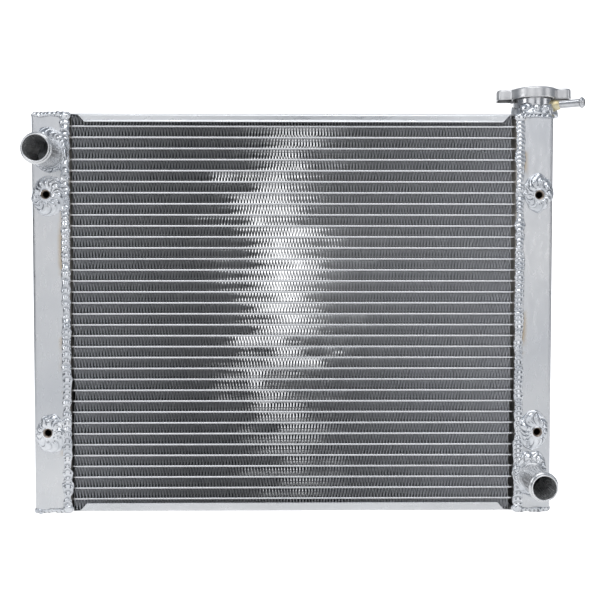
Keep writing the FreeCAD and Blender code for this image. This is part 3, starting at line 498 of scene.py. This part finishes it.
def bead(name, path, outward, width, height, pitch, replaces=(), closed=False, spread=0.16, swell=1.0):
    """A rippled weld bead on a path; outward is the direction that it bulges to at each point."""
    path, outward = np.array(path), np.array(outward)
    tangent = np.roll(path, -1, axis=0) - np.roll(path, 1, axis=0) if closed else np.gradient(path, axis=0)
    tangent /= np.linalg.norm(tangent, axis=1)[:, None]
    across = np.cross(tangent, outward)
    across /= np.linalg.norm(across, axis=1)[:, None]
    steps = np.linalg.norm(np.diff(path, axis=0, append=path[:1] if closed else path[-1:]), axis=1)
    along = np.concatenate([[0.0], np.cumsum(steps)[:-1]])
    coins = Coins(steps.sum(), pitch, spread, closed=closed)
    count = len(path)
    wandering = ring_random if closed else smooth_random
    widths = width / 2 + wandering(count, 11, 0.06 * width)
    jitter = wandering(count, 16, 0.3 * MM)
    tall = height * (1 + wandering(count, 13, 0.16))
    if not closed:
        tall *= np.clip(np.minimum(along, along[-1] - along) / (2 * MM), 0.3, 1) * swell
    points, grooves = [], []
    for t in np.linspace(-1, 1, BEAD_SECTION):
        shape = math.sqrt(max(0.0, 1 - t * t))
        level, groove = coins.at(along, t)
        points.append(path + across * (t * widths * (0.93 + 0.09 * level) + jitter)[:, None]
                      + outward * (tall * shape * level)[:, None])
        # Painted shade in the grooves between the ripples, and along the bead's edges.
        grooves.append(groove * (0.35 + 0.65 * shape) + (0.5 if abs(t) > 0.93 else 0.0))
    for t in (0.6, -0.6):
        points.append(path + across * (t * widths + jitter)[:, None] - outward * WELD_SINK)
        grooves.append(np.zeros(count))
    columns = len(points)
    faces = grid_faces(count, columns, closed_rows=closed, closed_columns=True)
    if not closed:
        faces.append(tuple(range(columns - 1, -1, -1)))
        faces.append(tuple(range((count - 1) * columns, count * columns)))
    return new_piece(name, np.stack(points, axis=1).reshape(-1, 3), faces, weld_metal, replaces,
                     groove=np.stack(grooves, axis=1), crease=70.0)


SEAM_STEP = 0.5 * MM  # distance between the sections of a bead


def seam_welds():
    """Four vertical beads over the joints between tanks and headers; they flatten out downwards."""
    low, high = shell_low[2] + 0.5 * MM, shell_high[2] - 0.5 * MM
    heights = np.arange(low, high, SEAM_STEP)
    flatter = np.interp(heights, [low, 0.1 * low, 0.5 * high], [0.55, 0.75, 1.0])
    for side, sign in SIDES:
        x = sign * (INNER + SEAM_WIDE / 2 - 0.3 * MM)
        pitch, spread, rise = (5.4 * MM, 0.26, 2.1 * MM) if side == "left" else (4.3 * MM, 0.12, 1.8 * MM)
        for face, depth, out in FACES:
            path = np.stack([np.full(len(heights), x), np.full(len(heights), depth), heights], axis=1)
            outward = np.tile([0.0, out, 0.0], (len(heights), 1))
            bead(f"{side}_{face}_seam_bead", path, outward, SEAM_WIDE, rise, pitch, spread=spread,
                 swell=flatter, replaces=[f"{side}_{face}_seam_weld"])


def corner_loop(low_x, high_x, low_y, high_y, radius, step):
    """A rounded rectangle seen from above, evenly stepped, with the outward direction at each point."""
    points, directions = [], []
    corners = [(high_x - radius, low_y + radius, -90), (high_x - radius, high_y - radius, 0),
               (low_x + radius, high_y - radius, 90), (low_x + radius, low_y + radius, 180)]
    for x, y, start in corners:
        for k in range(7):
            angle = math.radians(start + 90 * k / 6)
            points.append((x + radius * math.cos(angle), y + radius * math.sin(angle)))
            directions.append((math.cos(angle), math.sin(angle)))
    points, directions = np.array(points + points[:1]), np.array(directions + directions[:1])
    lengths = np.concatenate([[0], np.cumsum(np.linalg.norm(np.diff(points, axis=0), axis=1))])
    places = np.arange(0, lengths[-1] - step / 2, step)
    loop = np.stack([np.interp(places, lengths, points[:, i]) for i in (0, 1)], axis=1)
    out = np.stack([np.interp(places, lengths, directions[:, i]) for i in (0, 1)], axis=1)
    return loop, out


def end_welds():
    """Beads round the four end plates, wrapped over the tanks' edges."""
    inset, corner = 1.6 * MM, 1.5 * MM
    for side, sign in SIDES:
        low_x, high_x = sorted((sign * INNER, sign * OUTER))
        loop, out = corner_loop(low_x + inset, high_x - inset, FRONT + inset, REAR - inset, corner, SEAM_STEP)
        for end, up in ENDS:
            level = np.full(len(loop), up * (ROOF - inset))
            path = np.column_stack([loop, level])
            outward = np.column_stack([out, np.full(len(loop), up)])
            outward /= np.linalg.norm(outward, axis=1)[:, None]
            bead(f"{side}_{end}_end_bead", path, outward, 6.2 * MM, 2.5 * MM, 4.2 * MM,
                 replaces=[f"{side}_{end}_end_weld"], closed=True)


def weld_pad(name, centre, inner, outer, height, pitch, replaces=(), axis="y", bank=0.8, crest=0.5,
             shift=(0.0, 0.0), top_heavy=0.0):
    """A ring of rippled weld. outer is its half width and half height, and shift is how far off centre they
    are. bank bends its slope, full under 1 and hollow over 1. crest is the rippled share of its height."""
    rows, columns = 26, 260
    angles = np.linspace(0, 2 * math.pi, columns, endpoint=False)
    c, n = np.cos(angles), np.sin(angles)
    square = (c / outer[0]) ** 2 + (n / outer[1]) ** 2
    slant = c * shift[0] / outer[0] ** 2 + n * shift[1] / outer[1] ** 2
    rest = (shift[0] / outer[0]) ** 2 + (shift[1] / outer[1]) ** 2 - 1
    reach = (slant + np.sqrt(slant ** 2 - square * rest)) / square * (1 + ring_random(columns, 13, 0.04))
    middle = (inner + outer[0]) / 2
    coins = Coins(2 * math.pi * middle, pitch, 0.30, bow=1.9, closed=True)
    swell = np.clip((1 + ring_random(columns, 24, 0.30)) * (1 + top_heavy * n), 0.3, 1.5)
    points, grooves = [], []
    for k in range(rows):
        t = k / (rows - 1)
        radius = inner + (reach - inner) * t
        slope = (1 - t) ** bank
        band = math.sin(math.pi * min(1.0, max(0.0, 1.2 * t - 0.17))) ** 0.7 if t < 0.93 else 0.0  # ripples
        level, groove = coins.at(angles * middle, min(1.0, 2.0 * t - 0.94))
        halo = 0.16 * math.exp(-((t - 0.955) / 0.03) ** 2)  # the low rim round the ripples
        lift = height * ((1 - crest) * slope + crest * band * level * swell + halo)
        if k == rows - 1:
            lift = np.zeros(columns)
        points.append(np.stack([radius * np.cos(angles), radius * np.sin(angles), lift], axis=1))
        # Painted shade in the grooves between the ripples.
        grooves.append(groove * band * np.clip(swell, 0, 1) * 0.85)
    for radius in (reach * 0.97, np.full(columns, inner)):
        below = np.full(columns, -WELD_SINK)
        points.append(np.stack([radius * np.cos(angles), radius * np.sin(angles), below], axis=1))
        grooves.append(np.zeros(columns))
    local = np.concatenate(points)
    if axis == "y":
        local = np.stack([local[:, 0], -local[:, 2], local[:, 1]], axis=1)
    faces = grid_faces(rows + 2, columns, closed_rows=True, closed_columns=True)
    return new_piece(name, local + np.array(centre), faces, weld_metal, replaces,
                     groove=np.concatenate(grooves), crease=70.0)


def weld_blob(name, centre, size, out):
    """A rounded lump left where a bead was stopped; out is the direction that it faces."""
    turns, rings = 28, 16
    out = np.array(out, float) / np.linalg.norm(out)
    side = np.cross(out, (0, 0, 1.0)) if abs(out[2]) < 0.9 else np.array((1.0, 0, 0))
    side /= np.linalg.norm(side)
    up = np.cross(side, out)
    wobble = ring_random(turns, 4, 0.06)
    points, grooves = [], []
    for k in range(rings + 1):
        lift = math.pi * k / rings
        for j in range(turns):
            turn = 2 * math.pi * j / turns
            swell = (1 + wobble[j]) * (1 - 0.07 * math.cos(3.2 * lift * 2))
            flat = math.sin(lift) ** 0.8 * swell
            points.append(np.array(centre) + side * (size[0] * flat * math.cos(turn))
                          + up * (size[1] * flat * math.sin(turn)) + out * (size[2] * math.cos(lift)))
            # A ring of painted shade round the lump's flank.
            grooves.append(0.5 * math.exp(-((lift - 1.0) / 0.12) ** 2))
    faces = grid_faces(rings + 1, turns, closed_columns=True)
    new_piece(name, points, faces, weld_metal, groove=np.array(grooves), crease=70.0)


# Each boss: its side, its level, then the pad's half width and half height, and how far right and up its
# middle is, in millimetres.
BOSSES = (
    ("left", "upper", (16.0, 18.8), (2.4, -0.6)),
    ("left", "lower", (14.0, 18.6), (2.4, -1.5)),
    ("right", "upper", (13.1, 18.6), (-0.5, 2.0)),
    ("right", "lower", (14.6, 18.4), (-3.6, 2.2)),
)
FIRST_BOSS = ("left", "upper")  # its two pieces replace the nodes that all four bosses share


def in_metres(millimetres):
    """The same sizes in metres."""
    return tuple(value * MM for value in millimetres)


def boss_place(side, level, y):
    """A point on a boss's axis."""
    return BOSS_X * (1 if side == "right" else -1), y, BOSS_Z * (1 if level == "upper" else -1)


def boss_and_pipe_welds():
    """Rippled pads round the four bosses and the two hose pipes, each laid heavier on one side."""
    for side, level, outer, shift in BOSSES:
        weld_pad(f"{level}_{side}_boss_bead", boss_place(side, level, FRONT), 4.4 * MM, in_metres(outer),
                 5.6 * MM, 4.6 * MM, replaces=["boss_welds"] if (side, level) == FIRST_BOSS else (),
                 crest=0.38, shift=in_metres(shift), top_heavy=0.45)
    weld_pad("inlet_bead", (INLET_X, FRONT, INLET_Z), INLET_RADIUS - 0.2 * MM, in_metres((17.6, 20.8)),
             5.2 * MM, 5.0 * MM, replaces=["inlet_weld"], shift=in_metres((0.6, 3.6)))
    weld_pad("outlet_bead", (OUTLET_X, FRONT, OUTLET_Z), OUTLET_RADIUS - 0.2 * MM, in_metres((16.6, 20.8)),
             5.0 * MM, 4.8 * MM, replaces=["outlet_weld"], shift=in_metres((-0.6, 3.0)), top_heavy=0.3)


def corner_lumps():
    """Lumps where the header seams run into the end welds."""
    for side, sign in SIDES:
        for end, up in ENDS:
            for face, depth, out in FACES:
                centre = (sign * (INNER + 3.6 * MM), depth - out * 0.3 * MM, up * (ROOF - 3.4 * MM))
                weld_blob(f"{side}_{end}_{face}_lump", centre, in_metres((5.0, 3.9, 2.3)), (0, out, 0))


# Each lump on the neck's weld: its name, its direction in degrees, its size and its height, in millimetres.
NECK_LUMPS = (
    ("left", -124, (6.4, 4.6, 3.0), 6.0),
    ("middle", -95, (3.4, 3.6, 2.4), 5.6),
    ("right", -66, (4.4, 3.8, 2.6), 5.4),
    ("rear", 75, (5.2, 3.6, 2.4), 5.0),
)


def neck_bead():
    """The heavy weld round the foot of the filler neck, with its lumps."""
    weld_pad("neck_bead", (NECK_X, NECK_Y, ROOF), NECK_RADIUS - 0.2 * MM, in_metres((21.9, 21.2)),
             8.6 * MM, 8.2 * MM, replaces=["neck_weld"], axis="z", bank=0.6)
    for name, turn, size, level in NECK_LUMPS:
        out = (math.cos(math.radians(turn)), math.sin(math.radians(turn)), 0.15)
        reach = NECK_RADIUS + 1.2 * MM
        centre = (NECK_X + reach * out[0], NECK_Y + reach * out[1], ROOF + level * MM)
        weld_blob(f"neck_{name}_lump", centre, in_metres(size), out)


# ---------------------------------------------------------------- turned pieces
def lathe(name, profile, centre, axis, material, replaces=(), turns=128, groove=None):
    """A turned piece: its profile is radius and distance along the axis, "y" or a level direction."""
    angles = np.linspace(0, 2 * math.pi, turns, endpoint=False)
    rings = [np.stack([radius * np.cos(angles), radius * np.sin(angles), np.full(turns, way)], axis=1)
             for radius, way in profile]
    local = np.concatenate(rings)
    if axis == "y":
        local = np.stack([local[:, 0], local[:, 2], -local[:, 1]], axis=1)
    else:
        local = local @ np.array([(0.0, 0.0, 1.0), (axis[1], -axis[0], 0.0), axis])
    faces = grid_faces(len(profile), turns, closed_rows=True, closed_columns=True)
    shade = None if groove is None else np.repeat(np.array(groove), turns)
    new_piece(name, local + np.array(centre), faces, material, replaces, crease=35.0, groove=shade)


def arc(centre, radius, start, end, count):
    """Points of a profile on a circle, angles in degrees."""
    angles = np.radians(np.linspace(start, end, count))
    return [(centre[0] + radius * math.cos(a), centre[1] + radius * math.sin(a)) for a in angles]


HOSE_BEAD_OUT, HOSE_BEAD_HALF = 1.5 * MM, 2.1 * MM  # how far a hose bead stands out, and half its length


def hose_bead(radius, middle, count):
    """The rolled bead that a hose grips behind, as points of a profile."""
    return [(radius + HOSE_BEAD_OUT * math.cos(math.pi / 2 * t) ** 0.9, middle + HOSE_BEAD_HALF * t)
            for t in np.linspace(-1, 1, count)]


def hose_pipe(name, mouth, tail, radius, x, z):
    """Pipe with a rounded lip and a rolled bead behind it: brightest at the lip, dullest inside."""
    bore, lip = radius - 1.6 * MM, 0.75 * MM
    bead_middle = mouth + 4.8 * MM
    hole = [(bore, tail), (bore, bead_middle + 4 * MM), (bore + 0.3 * MM, bead_middle),
            (bore, bead_middle - 3 * MM)]
    rim = arc((bore + lip, mouth + lip), lip, 180, 270, 6)
    rim += arc((radius - lip, mouth + lip), lip, 270, 360, 6)
    outside = [(radius, bead_middle - 2.6 * MM)] + hose_bead(radius, bead_middle, 17)
    outside += [(radius, bead_middle + 3 * MM), (radius, -1.0 * MM), (radius, tail)]
    shade = [0.3] * len(hole) + [0.0] * len(rim) + [0.2] * len(outside)
    lathe(f"{name}_hose_pipe", hole + rim + outside, (x, 0, z), "y", pipe_metal,
          [f"{name}_pipe"], groove=shade)


def nipple():
    """Overflow nipple: a short tube out of the filler neck, flared into a bead at its mouth, whose bore is
    painted dark as shade.
    """
    start, tip, bore, outside, lip = 17.4 * MM, 47.5 * MM, 2.7 * MM, 3.6 * MM, 0.45 * MM
    hole = [(bore + 0.3 * MM, tip - 0.1 * MM), (bore, tip - 0.9 * MM), (bore, start)]
    wall = [(outside, start), (outside, tip - 4.9 * MM)] + hose_bead(outside, tip - 2.5 * MM, 13)
    wall += arc((outside - lip, tip - lip), lip, 0, 90, 5)
    # Painted shade down the bore.
    shade = [0.6, 1.0, 1.0] + [0.0] * len(wall)
    turn = math.radians(-30)
    axis = (math.cos(turn), math.sin(turn), 0.0)
    lathe("overflow_tube", hole + wall, (NECK_X, NECK_Y, NIPPLE_Z), axis, neck_metal,
          ["overflow_nipple"], turns=64, groove=shade)
    sunk = 0.4 * MM  # keeps the fillet clear of the turning cap's lugs
    steps = ((5.2, 0.0), (5.3, 2.0), (5.1, 3.6), (4.5, 5.6), (4.1, 7.4))  # radius and distance, millimetres
    fillet = [(outside - 0.3 * MM, start)] + [(radius * MM, start + way * MM) for radius, way in steps]
    fillet += [(outside - 0.5 * MM, start + 8.4 * MM)]
    lathe("nipple_fillet", fillet, (NECK_X, NECK_Y, NIPPLE_Z - sunk), axis, braze_metal,
          ["nipple_braze"], turns=48)


def bosses():
    """Threaded bosses: a countersink and thread, painted dark as shade, inside a plain face with a rounded
    rim.
    """
    ridges, bore, depth, thread, rim = 18, 2.5 * MM, 8.0 * MM, 0.35 * MM, 1.8 * MM
    thread_start = BOSS_FACE + 2.0 * MM
    hole = [(bore - (thread if k % 2 else 0.0), depth - (depth - thread_start) * k / ridges)
            for k in range(ridges + 1)]
    sink = [(bore + 0.5 * MM, BOSS_FACE + 1.2 * MM), (bore + 1.3 * MM, BOSS_FACE + 0.3 * MM),
            (bore + 1.9 * MM, BOSS_FACE)]
    outside = arc((BOSS_RADIUS - rim, BOSS_FACE + rim), rim, 270, 360, 5)
    outside += [(BOSS_RADIUS, depth + 3 * MM), (0.01 * MM, depth + 3 * MM)]
    profile = hole + sink + outside + [(0.01 * MM, depth)]
    # Painted shade: black down the hole, fading out across the countersink.
    shade = [1.0] * len(hole) + [0.45, 0.2, 0.0] + [0.0] * len(outside) + [1.0]
    for side, level, _, _ in BOSSES:
        lathe(f"{level}_{side}_boss", profile, boss_place(side, level, 0), "y", boss_metal,
              ["mounting_bosses"] if (side, level) == FIRST_BOSS else (), groove=shade, turns=64)


# ---------------------------------------------------------------- side plates
CUT_ENDS = {"top": (14.0 * MM, 12.0 * MM), "bottom": (13.4 * MM, 14.6 * MM)}  # flange cut off, left and right
CUT_ACROSS = 6.5 * MM  # how much of that is the slanted corner
SHEET, BEND, HEM = 1.5 * MM, 2.4 * MM, 1.5 * MM  # thickness, outside radius of the bends, turned-out edge


def side_plate(end, up):
    """A folded channel: soft bends, corners cut off its flanges, and free edges that turn out a little."""
    low, high = span(f"{end}_side_plate")
    tall, deep, half = high[2] - low[2], (high[1] - low[1]) / 2, (high[0] - low[0]) / 2
    centre = (low + high) / 2
    outside = [(-deep - 0.35 * MM, -tall + 0.25 * MM), (-deep - 0.45 * MM, -tall + 0.6 * MM),
               (-deep, -tall + HEM), (-deep, -tall * 0.6)]
    outside += [(-deep + BEND - BEND * math.cos(a), -BEND + BEND * math.sin(a))
                for a in np.radians(np.linspace(0, 90, 8))]
    outside += [(-deep * 0.4, 0.0)]
    outside += [(-y, z) for y, z in reversed(outside)]
    middle = np.array(outside)
    slope = np.gradient(middle, axis=0)
    slope /= np.linalg.norm(slope, axis=1)[:, None]
    inside = middle + SHEET * np.stack([slope[:, 1], -slope[:, 0]], axis=1)
    section = np.concatenate([middle, inside[::-1]])
    stations = 40
    points = []
    for k in range(stations + 1):
        share = k / stations
        for y, z in section:
            depth = min(1.0, max(0.0, (-z - 1.0 * MM) / (tall - 1.0 * MM)))
            left, right = (max(0.0, cut - CUT_ACROSS * (1 - depth)) if depth > 0 else 0.0
                           for cut in CUT_ENDS[end])
            points.append((centre[0] - half + left + (2 * half - left - right) * share, centre[1] + y,
                           centre[2] + up * (tall / 2 + z)))
    faces = grid_faces(stations + 1, len(section), closed_columns=True)
    count, last = len(section), stations * len(section)
    for j in range(len(middle) - 1):
        faces.append((j, count - 1 - j, count - 2 - j, j + 1))
        faces.append((last + j + 1, last + count - 2 - j, last + count - 1 - j, last + j))
    new_piece(f"{end}_channel", points, faces, side_metal, [f"{end}_side_plate"], crease=30.0)


# ---------------------------------------------------------------- cap
def cap_outline(count):
    """The cap seen from above, as radii at even angles: a disc and two ears, with soft corners."""
    disc, reach, half, corner = 22.5 * MM, 34.0 * MM, 9.0 * MM, 5.0 * MM
    radii = []
    for k in range(count):
        turn = 2 * math.pi * k / count
        c, n = abs(math.cos(turn)), abs(math.sin(turn))
        ear = min(reach / max(c, 1e-6), half / max(n, 1e-6))
        x, y = ear * c, ear * n
        if x > reach - corner and y > half - corner:
            low, high = 0.0, ear
            for _ in range(40):
                middle = (low + high) / 2
                over_x, over_y = middle * c - (reach - corner), middle * n - (half - corner)
                inside = over_x < 0 or over_y < 0 or math.hypot(over_x, over_y) <= corner
                low, high = (middle, high) if inside else (low, middle)
            ear = low
        radii.append(max(disc, ear))
    radii = np.array(radii)
    for _ in range(6):
        radii = (np.roll(radii, 1) + 2 * radii + np.roll(radii, -1)) / 4
    return radii


def cap_shell():
    """Pressed cap: raised crown, two hollow ears, rounded shoulders and an open skirt."""
    low, high = span("cap_shell")
    skirt, crown = low[2], high[2]
    count = 360  # points round the rim
    angles = np.linspace(0, 2 * math.pi, count, endpoint=False)
    radii = cap_outline(count)
    rim = np.stack([radii * np.cos(angles), radii * np.sin(angles)], axis=1)
    tangent = np.roll(rim, -1, axis=0) - np.roll(rim, 1, axis=0)
    normal = np.stack([tangent[:, 1], -tangent[:, 0]], axis=1) / np.linalg.norm(tangent, axis=1)[:, None]
    raised, thick, shoulder = 0.3 * MM, 1.1 * MM, 2.0 * MM

    def top(xy):
        """Height of the crown: it falls towards the rim, and a groove is pressed round its middle."""
        away = np.hypot(xy[:, 0], xy[:, 1])
        fall = np.clip((away - 18.0 * MM) / (4.8 * MM), 0, 1)
        pressed = 0.5 * MM * np.exp(-((away - 12.5 * MM) / (0.9 * MM)) ** 2)
        return crown - raised * (3 * fall ** 2 - 2 * fall ** 3) - pressed

    rings = []

    def ring(inset, drop=None, level=None):
        """A loop inside the rim, a drop below the crown or at a level."""
        z = top(rim - normal * shoulder) - drop if level is None else np.full(count, level)
        rings.append(np.column_stack([rim - normal * inset, z]))

    def corner(inset, radius, turns):
        """The rounded shoulder, from its side or to it."""
        for a in np.radians(turns):
            ring(inset + radius * (1 - math.cos(a)), drop=inset + radius * (1 - math.sin(a)))

    for scale in (0.06, 0.2, 0.35, 0.48, 0.54, 0.6, 0.7, 0.8, 0.88, 0.94):
        xy = (rim - normal * shoulder) * scale
        rings.append(np.column_stack([xy, top(xy)]))
    corner(0.0, shoulder, np.linspace(90, 0, 9))
    ring(-0.05 * MM, level=skirt + 3.2 * MM)
    ring(-0.25 * MM, level=skirt + 1.2 * MM)
    ring(-0.15 * MM, level=skirt + 0.3 * MM)
    ring(0.3 * MM, level=skirt)
    ring(thick, level=skirt + 0.3 * MM)
    ring(thick, level=skirt + 3.2 * MM)
    corner(thick, shoulder - thick, np.linspace(0, 90, 5))
    for scale in (0.94, 0.8, 0.6, 0.35, 0.12, 0.06):
        xy = (rim - normal * shoulder) * scale
        rings.append(np.column_stack([xy, top(xy) - thick]))
    local = np.concatenate(rings)
    faces = grid_faces(len(rings), count, closed_rows=True, closed_columns=True)
    spin = math.radians(-7.0)  # how far the closed cap's ears stand off the line of the core
    x = local[:, 0] * math.cos(spin) - local[:, 1] * math.sin(spin)
    y = local[:, 0] * math.sin(spin) + local[:, 1] * math.cos(spin)
    points = np.column_stack([x + NECK_X, y + NECK_Y, local[:, 2]])
    new_piece("cap_pressing", points, faces, cap_metal, ["cap_shell"], body="cap", crease=60.0)
    for name, start in (("front", -90), ("rear", 90)):
        cap_lug(name, math.radians(start) + spin, skirt)


def cap_lug(name, middle, skirt):
    """A lug of the skirt, folded in under the neck's flange."""
    half_degrees, inner, outer, thick = 16.5, 19.3 * MM, 21.9 * MM, 1.2 * MM
    angles = middle + np.radians(np.linspace(-half_degrees, half_degrees, 17))
    corners = ((outer, skirt + thick), (inner + 0.3 * MM, skirt + thick), (inner, skirt + 0.6 * thick),
               (inner, skirt + 0.35 * thick), (inner + 0.3 * MM, skirt), (outer, skirt))
    points = [(NECK_X + r * math.cos(a), NECK_Y + r * math.sin(a), z) for a in angles for r, z in corners]
    columns = len(corners)
    faces = grid_faces(len(angles), columns, closed_columns=True)
    faces.append(tuple(range(columns - 1, -1, -1)))
    faces.append(tuple(range((len(angles) - 1) * columns, len(angles) * columns)))
    new_piece(f"cap_{name}_lug", points, faces, cap_metal, body="cap", crease=50.0)


seam_welds()
end_welds()
boss_and_pipe_welds()
corner_lumps()
neck_bead()
hose_pipe("inlet", inlet_low[1], inlet_high[1], INLET_RADIUS, INLET_X, INLET_Z)
hose_pipe("outlet", outlet_low[1], outlet_high[1], OUTLET_RADIUS, OUTLET_X, OUTLET_Z)
bosses()
nipple()
cap_shell()
for end_name, end_sign in ENDS:
    side_plate(end_name, end_sign)


# ---------------------------------------------------------------- stage, light and camera
FLOOR_GLOW, BACKDROP_GLOW, SURROUNDINGS = (0.18, 0.40), 0.44, 0.45
COOL = (0.985, 0.988, 1.0)
# Each light: its place, its width and height, and its power; all face the object's origin.
LIGHTS = {
    "panel_left": ((-0.80, -2.4, 0.40), (1.5, 1.7), 6.3),
    "panel_right": ((0.90, -2.4, 0.40), (0.9, 1.7), 4.6),
    "key_left": ((-1.5, -0.9, 0.7), (0.5, 1.1), 3.5),
    "edge_right": ((1.4, -0.7, 0.3), (0.45, 1.0), 1.5),
    "top_soft": ((0.0, -0.5, 1.5), (1.2, 0.6), 4.0),
    "top_front": ((0.0, -1.15, 1.25), (1.2, 0.5), 4.0),
}
CAMERA_PLACE = (-3.1 * MM, -805.2 * MM, 41.8 * MM)
PITCH_DOWN, YAW_RIGHT = math.radians(2.045), math.radians(0.66)
LENS = 52.2


def studio_white():
    """White that glows most behind the object, and is plain white where it is seen directly."""
    material, tree, shader = nodes_of("studio_white")
    shader.inputs["Base Color"].default_value = (0.82, 0.82, 0.82, 1.0)
    shader.inputs["Roughness"].default_value = 0.9
    shader.inputs["Emission Color"].default_value = (1.0, 1.0, 1.0, 1.0)
    x, y, _ = place_of(tree)
    sideways = calc(tree, "ABSOLUTE", x)
    near = fade(tree, y, -0.45, -0.15, *FLOOR_GLOW)
    behind = fade(tree, y, 0.8, 1.6, 0.0, BACKDROP_GLOW)
    behind = calc(tree, "MULTIPLY", behind, fade(tree, sideways, 0.15, 0.7, 1.0, 0.0))
    glow = calc(tree, "MULTIPLY", calc(tree, "ADD", near, behind), fade(tree, sideways, 0.8, 1.4, 1.0, 0.15))
    seen = add(tree, "ShaderNodeLightPath").outputs["Is Camera Ray"]
    tree.links.new(calc(tree, "MAXIMUM", glow, seen), shader.inputs["Emission Strength"])
    return material


def studio():
    """A pale floor that curves up into a backdrop."""
    floor_z = float(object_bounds()[0][2])
    half, front, back, radius, top = 6.0, -3.0, 2.2, 1.2, 4.5
    bend = arc((back - radius, floor_z + radius), radius, 270, 360, 13)
    profile = [(front, floor_z)] + bend + [(back, top)]
    mesh = bpy.data.meshes.new("studio_sweep")
    points = [(x, y, z) for y, z in profile for x in (-half, half)]
    faces = [(2 * i, 2 * i + 1, 2 * i + 3, 2 * i + 2) for i in range(len(profile) - 1)]
    mesh.from_pydata(points, [], faces)
    mesh.shade_smooth()
    mesh.materials.append(studio_white())
    thing = bpy.data.objects.new("studio_sweep", mesh)
    bpy.context.scene.collection.objects.link(thing)


def area_light(name, place, size, power):
    """A soft rectangular light that faces the object's origin."""
    lamp = bpy.data.lights.new(name, "AREA")
    lamp.shape = "RECTANGLE"
    lamp.size, lamp.size_y = size
    lamp.energy = power
    lamp.color = COOL
    thing = bpy.data.objects.new(name, lamp)
    bpy.context.scene.collection.objects.link(thing)
    thing.location = place
    thing.rotation_euler = (-Vector(place)).to_track_quat("-Z", "Y").to_euler()


def world_light():
    """Dim, slightly blue surroundings for the reflections, and a pale background where they are seen."""
    world = bpy.data.worlds.new("studio_world")
    bpy.context.scene.world = world
    world.use_nodes = True
    tree = world.node_tree
    around = tree.nodes["Background"]
    around.inputs["Strength"].default_value = SURROUNDINGS
    height = calc(tree, "ADD", calc(tree, "MULTIPLY", place_of(tree, "Generated")[2], 0.5), 0.5)
    shade = ramp(tree, height, [(0.30, 0.30), (0.48, (0.16, 0.17, 0.19)), (0.75, (0.75, 0.82, 0.92))])
    tree.links.new(shade, around.inputs["Color"])
    seen = add(tree, "ShaderNodeBackground")
    seen.inputs["Color"].default_value = (0.94, 0.95, 0.96, 1.0)
    path = add(tree, "ShaderNodeLightPath")
    either = add(tree, "ShaderNodeMixShader")
    tree.links.new(path.outputs["Is Camera Ray"], either.inputs["Fac"])
    tree.links.new(around.outputs["Background"], either.inputs[1])
    tree.links.new(seen.outputs["Background"], either.inputs[2])
    tree.links.new(either.outputs["Shader"], tree.nodes["World Output"].inputs["Surface"])


def camera():
    """Almost square to the front, a little above the middle."""
    data = bpy.data.cameras.new("camera")
    data.lens = LENS
    data.sensor_width = 36.0
    data.clip_start = 0.01
    thing = bpy.data.objects.new("camera", data)
    bpy.context.scene.collection.objects.link(thing)
    thing.location = CAMERA_PLACE
    thing.rotation_euler = (math.pi / 2 - PITCH_DOWN, 0.0, -YAW_RIGHT)
    bpy.context.scene.camera = thing


studio()
world_light()
for light_name, light in LIGHTS.items():
    area_light(light_name, *light)
camera()
bpy.context.scene.view_settings.view_transform = "Standard"
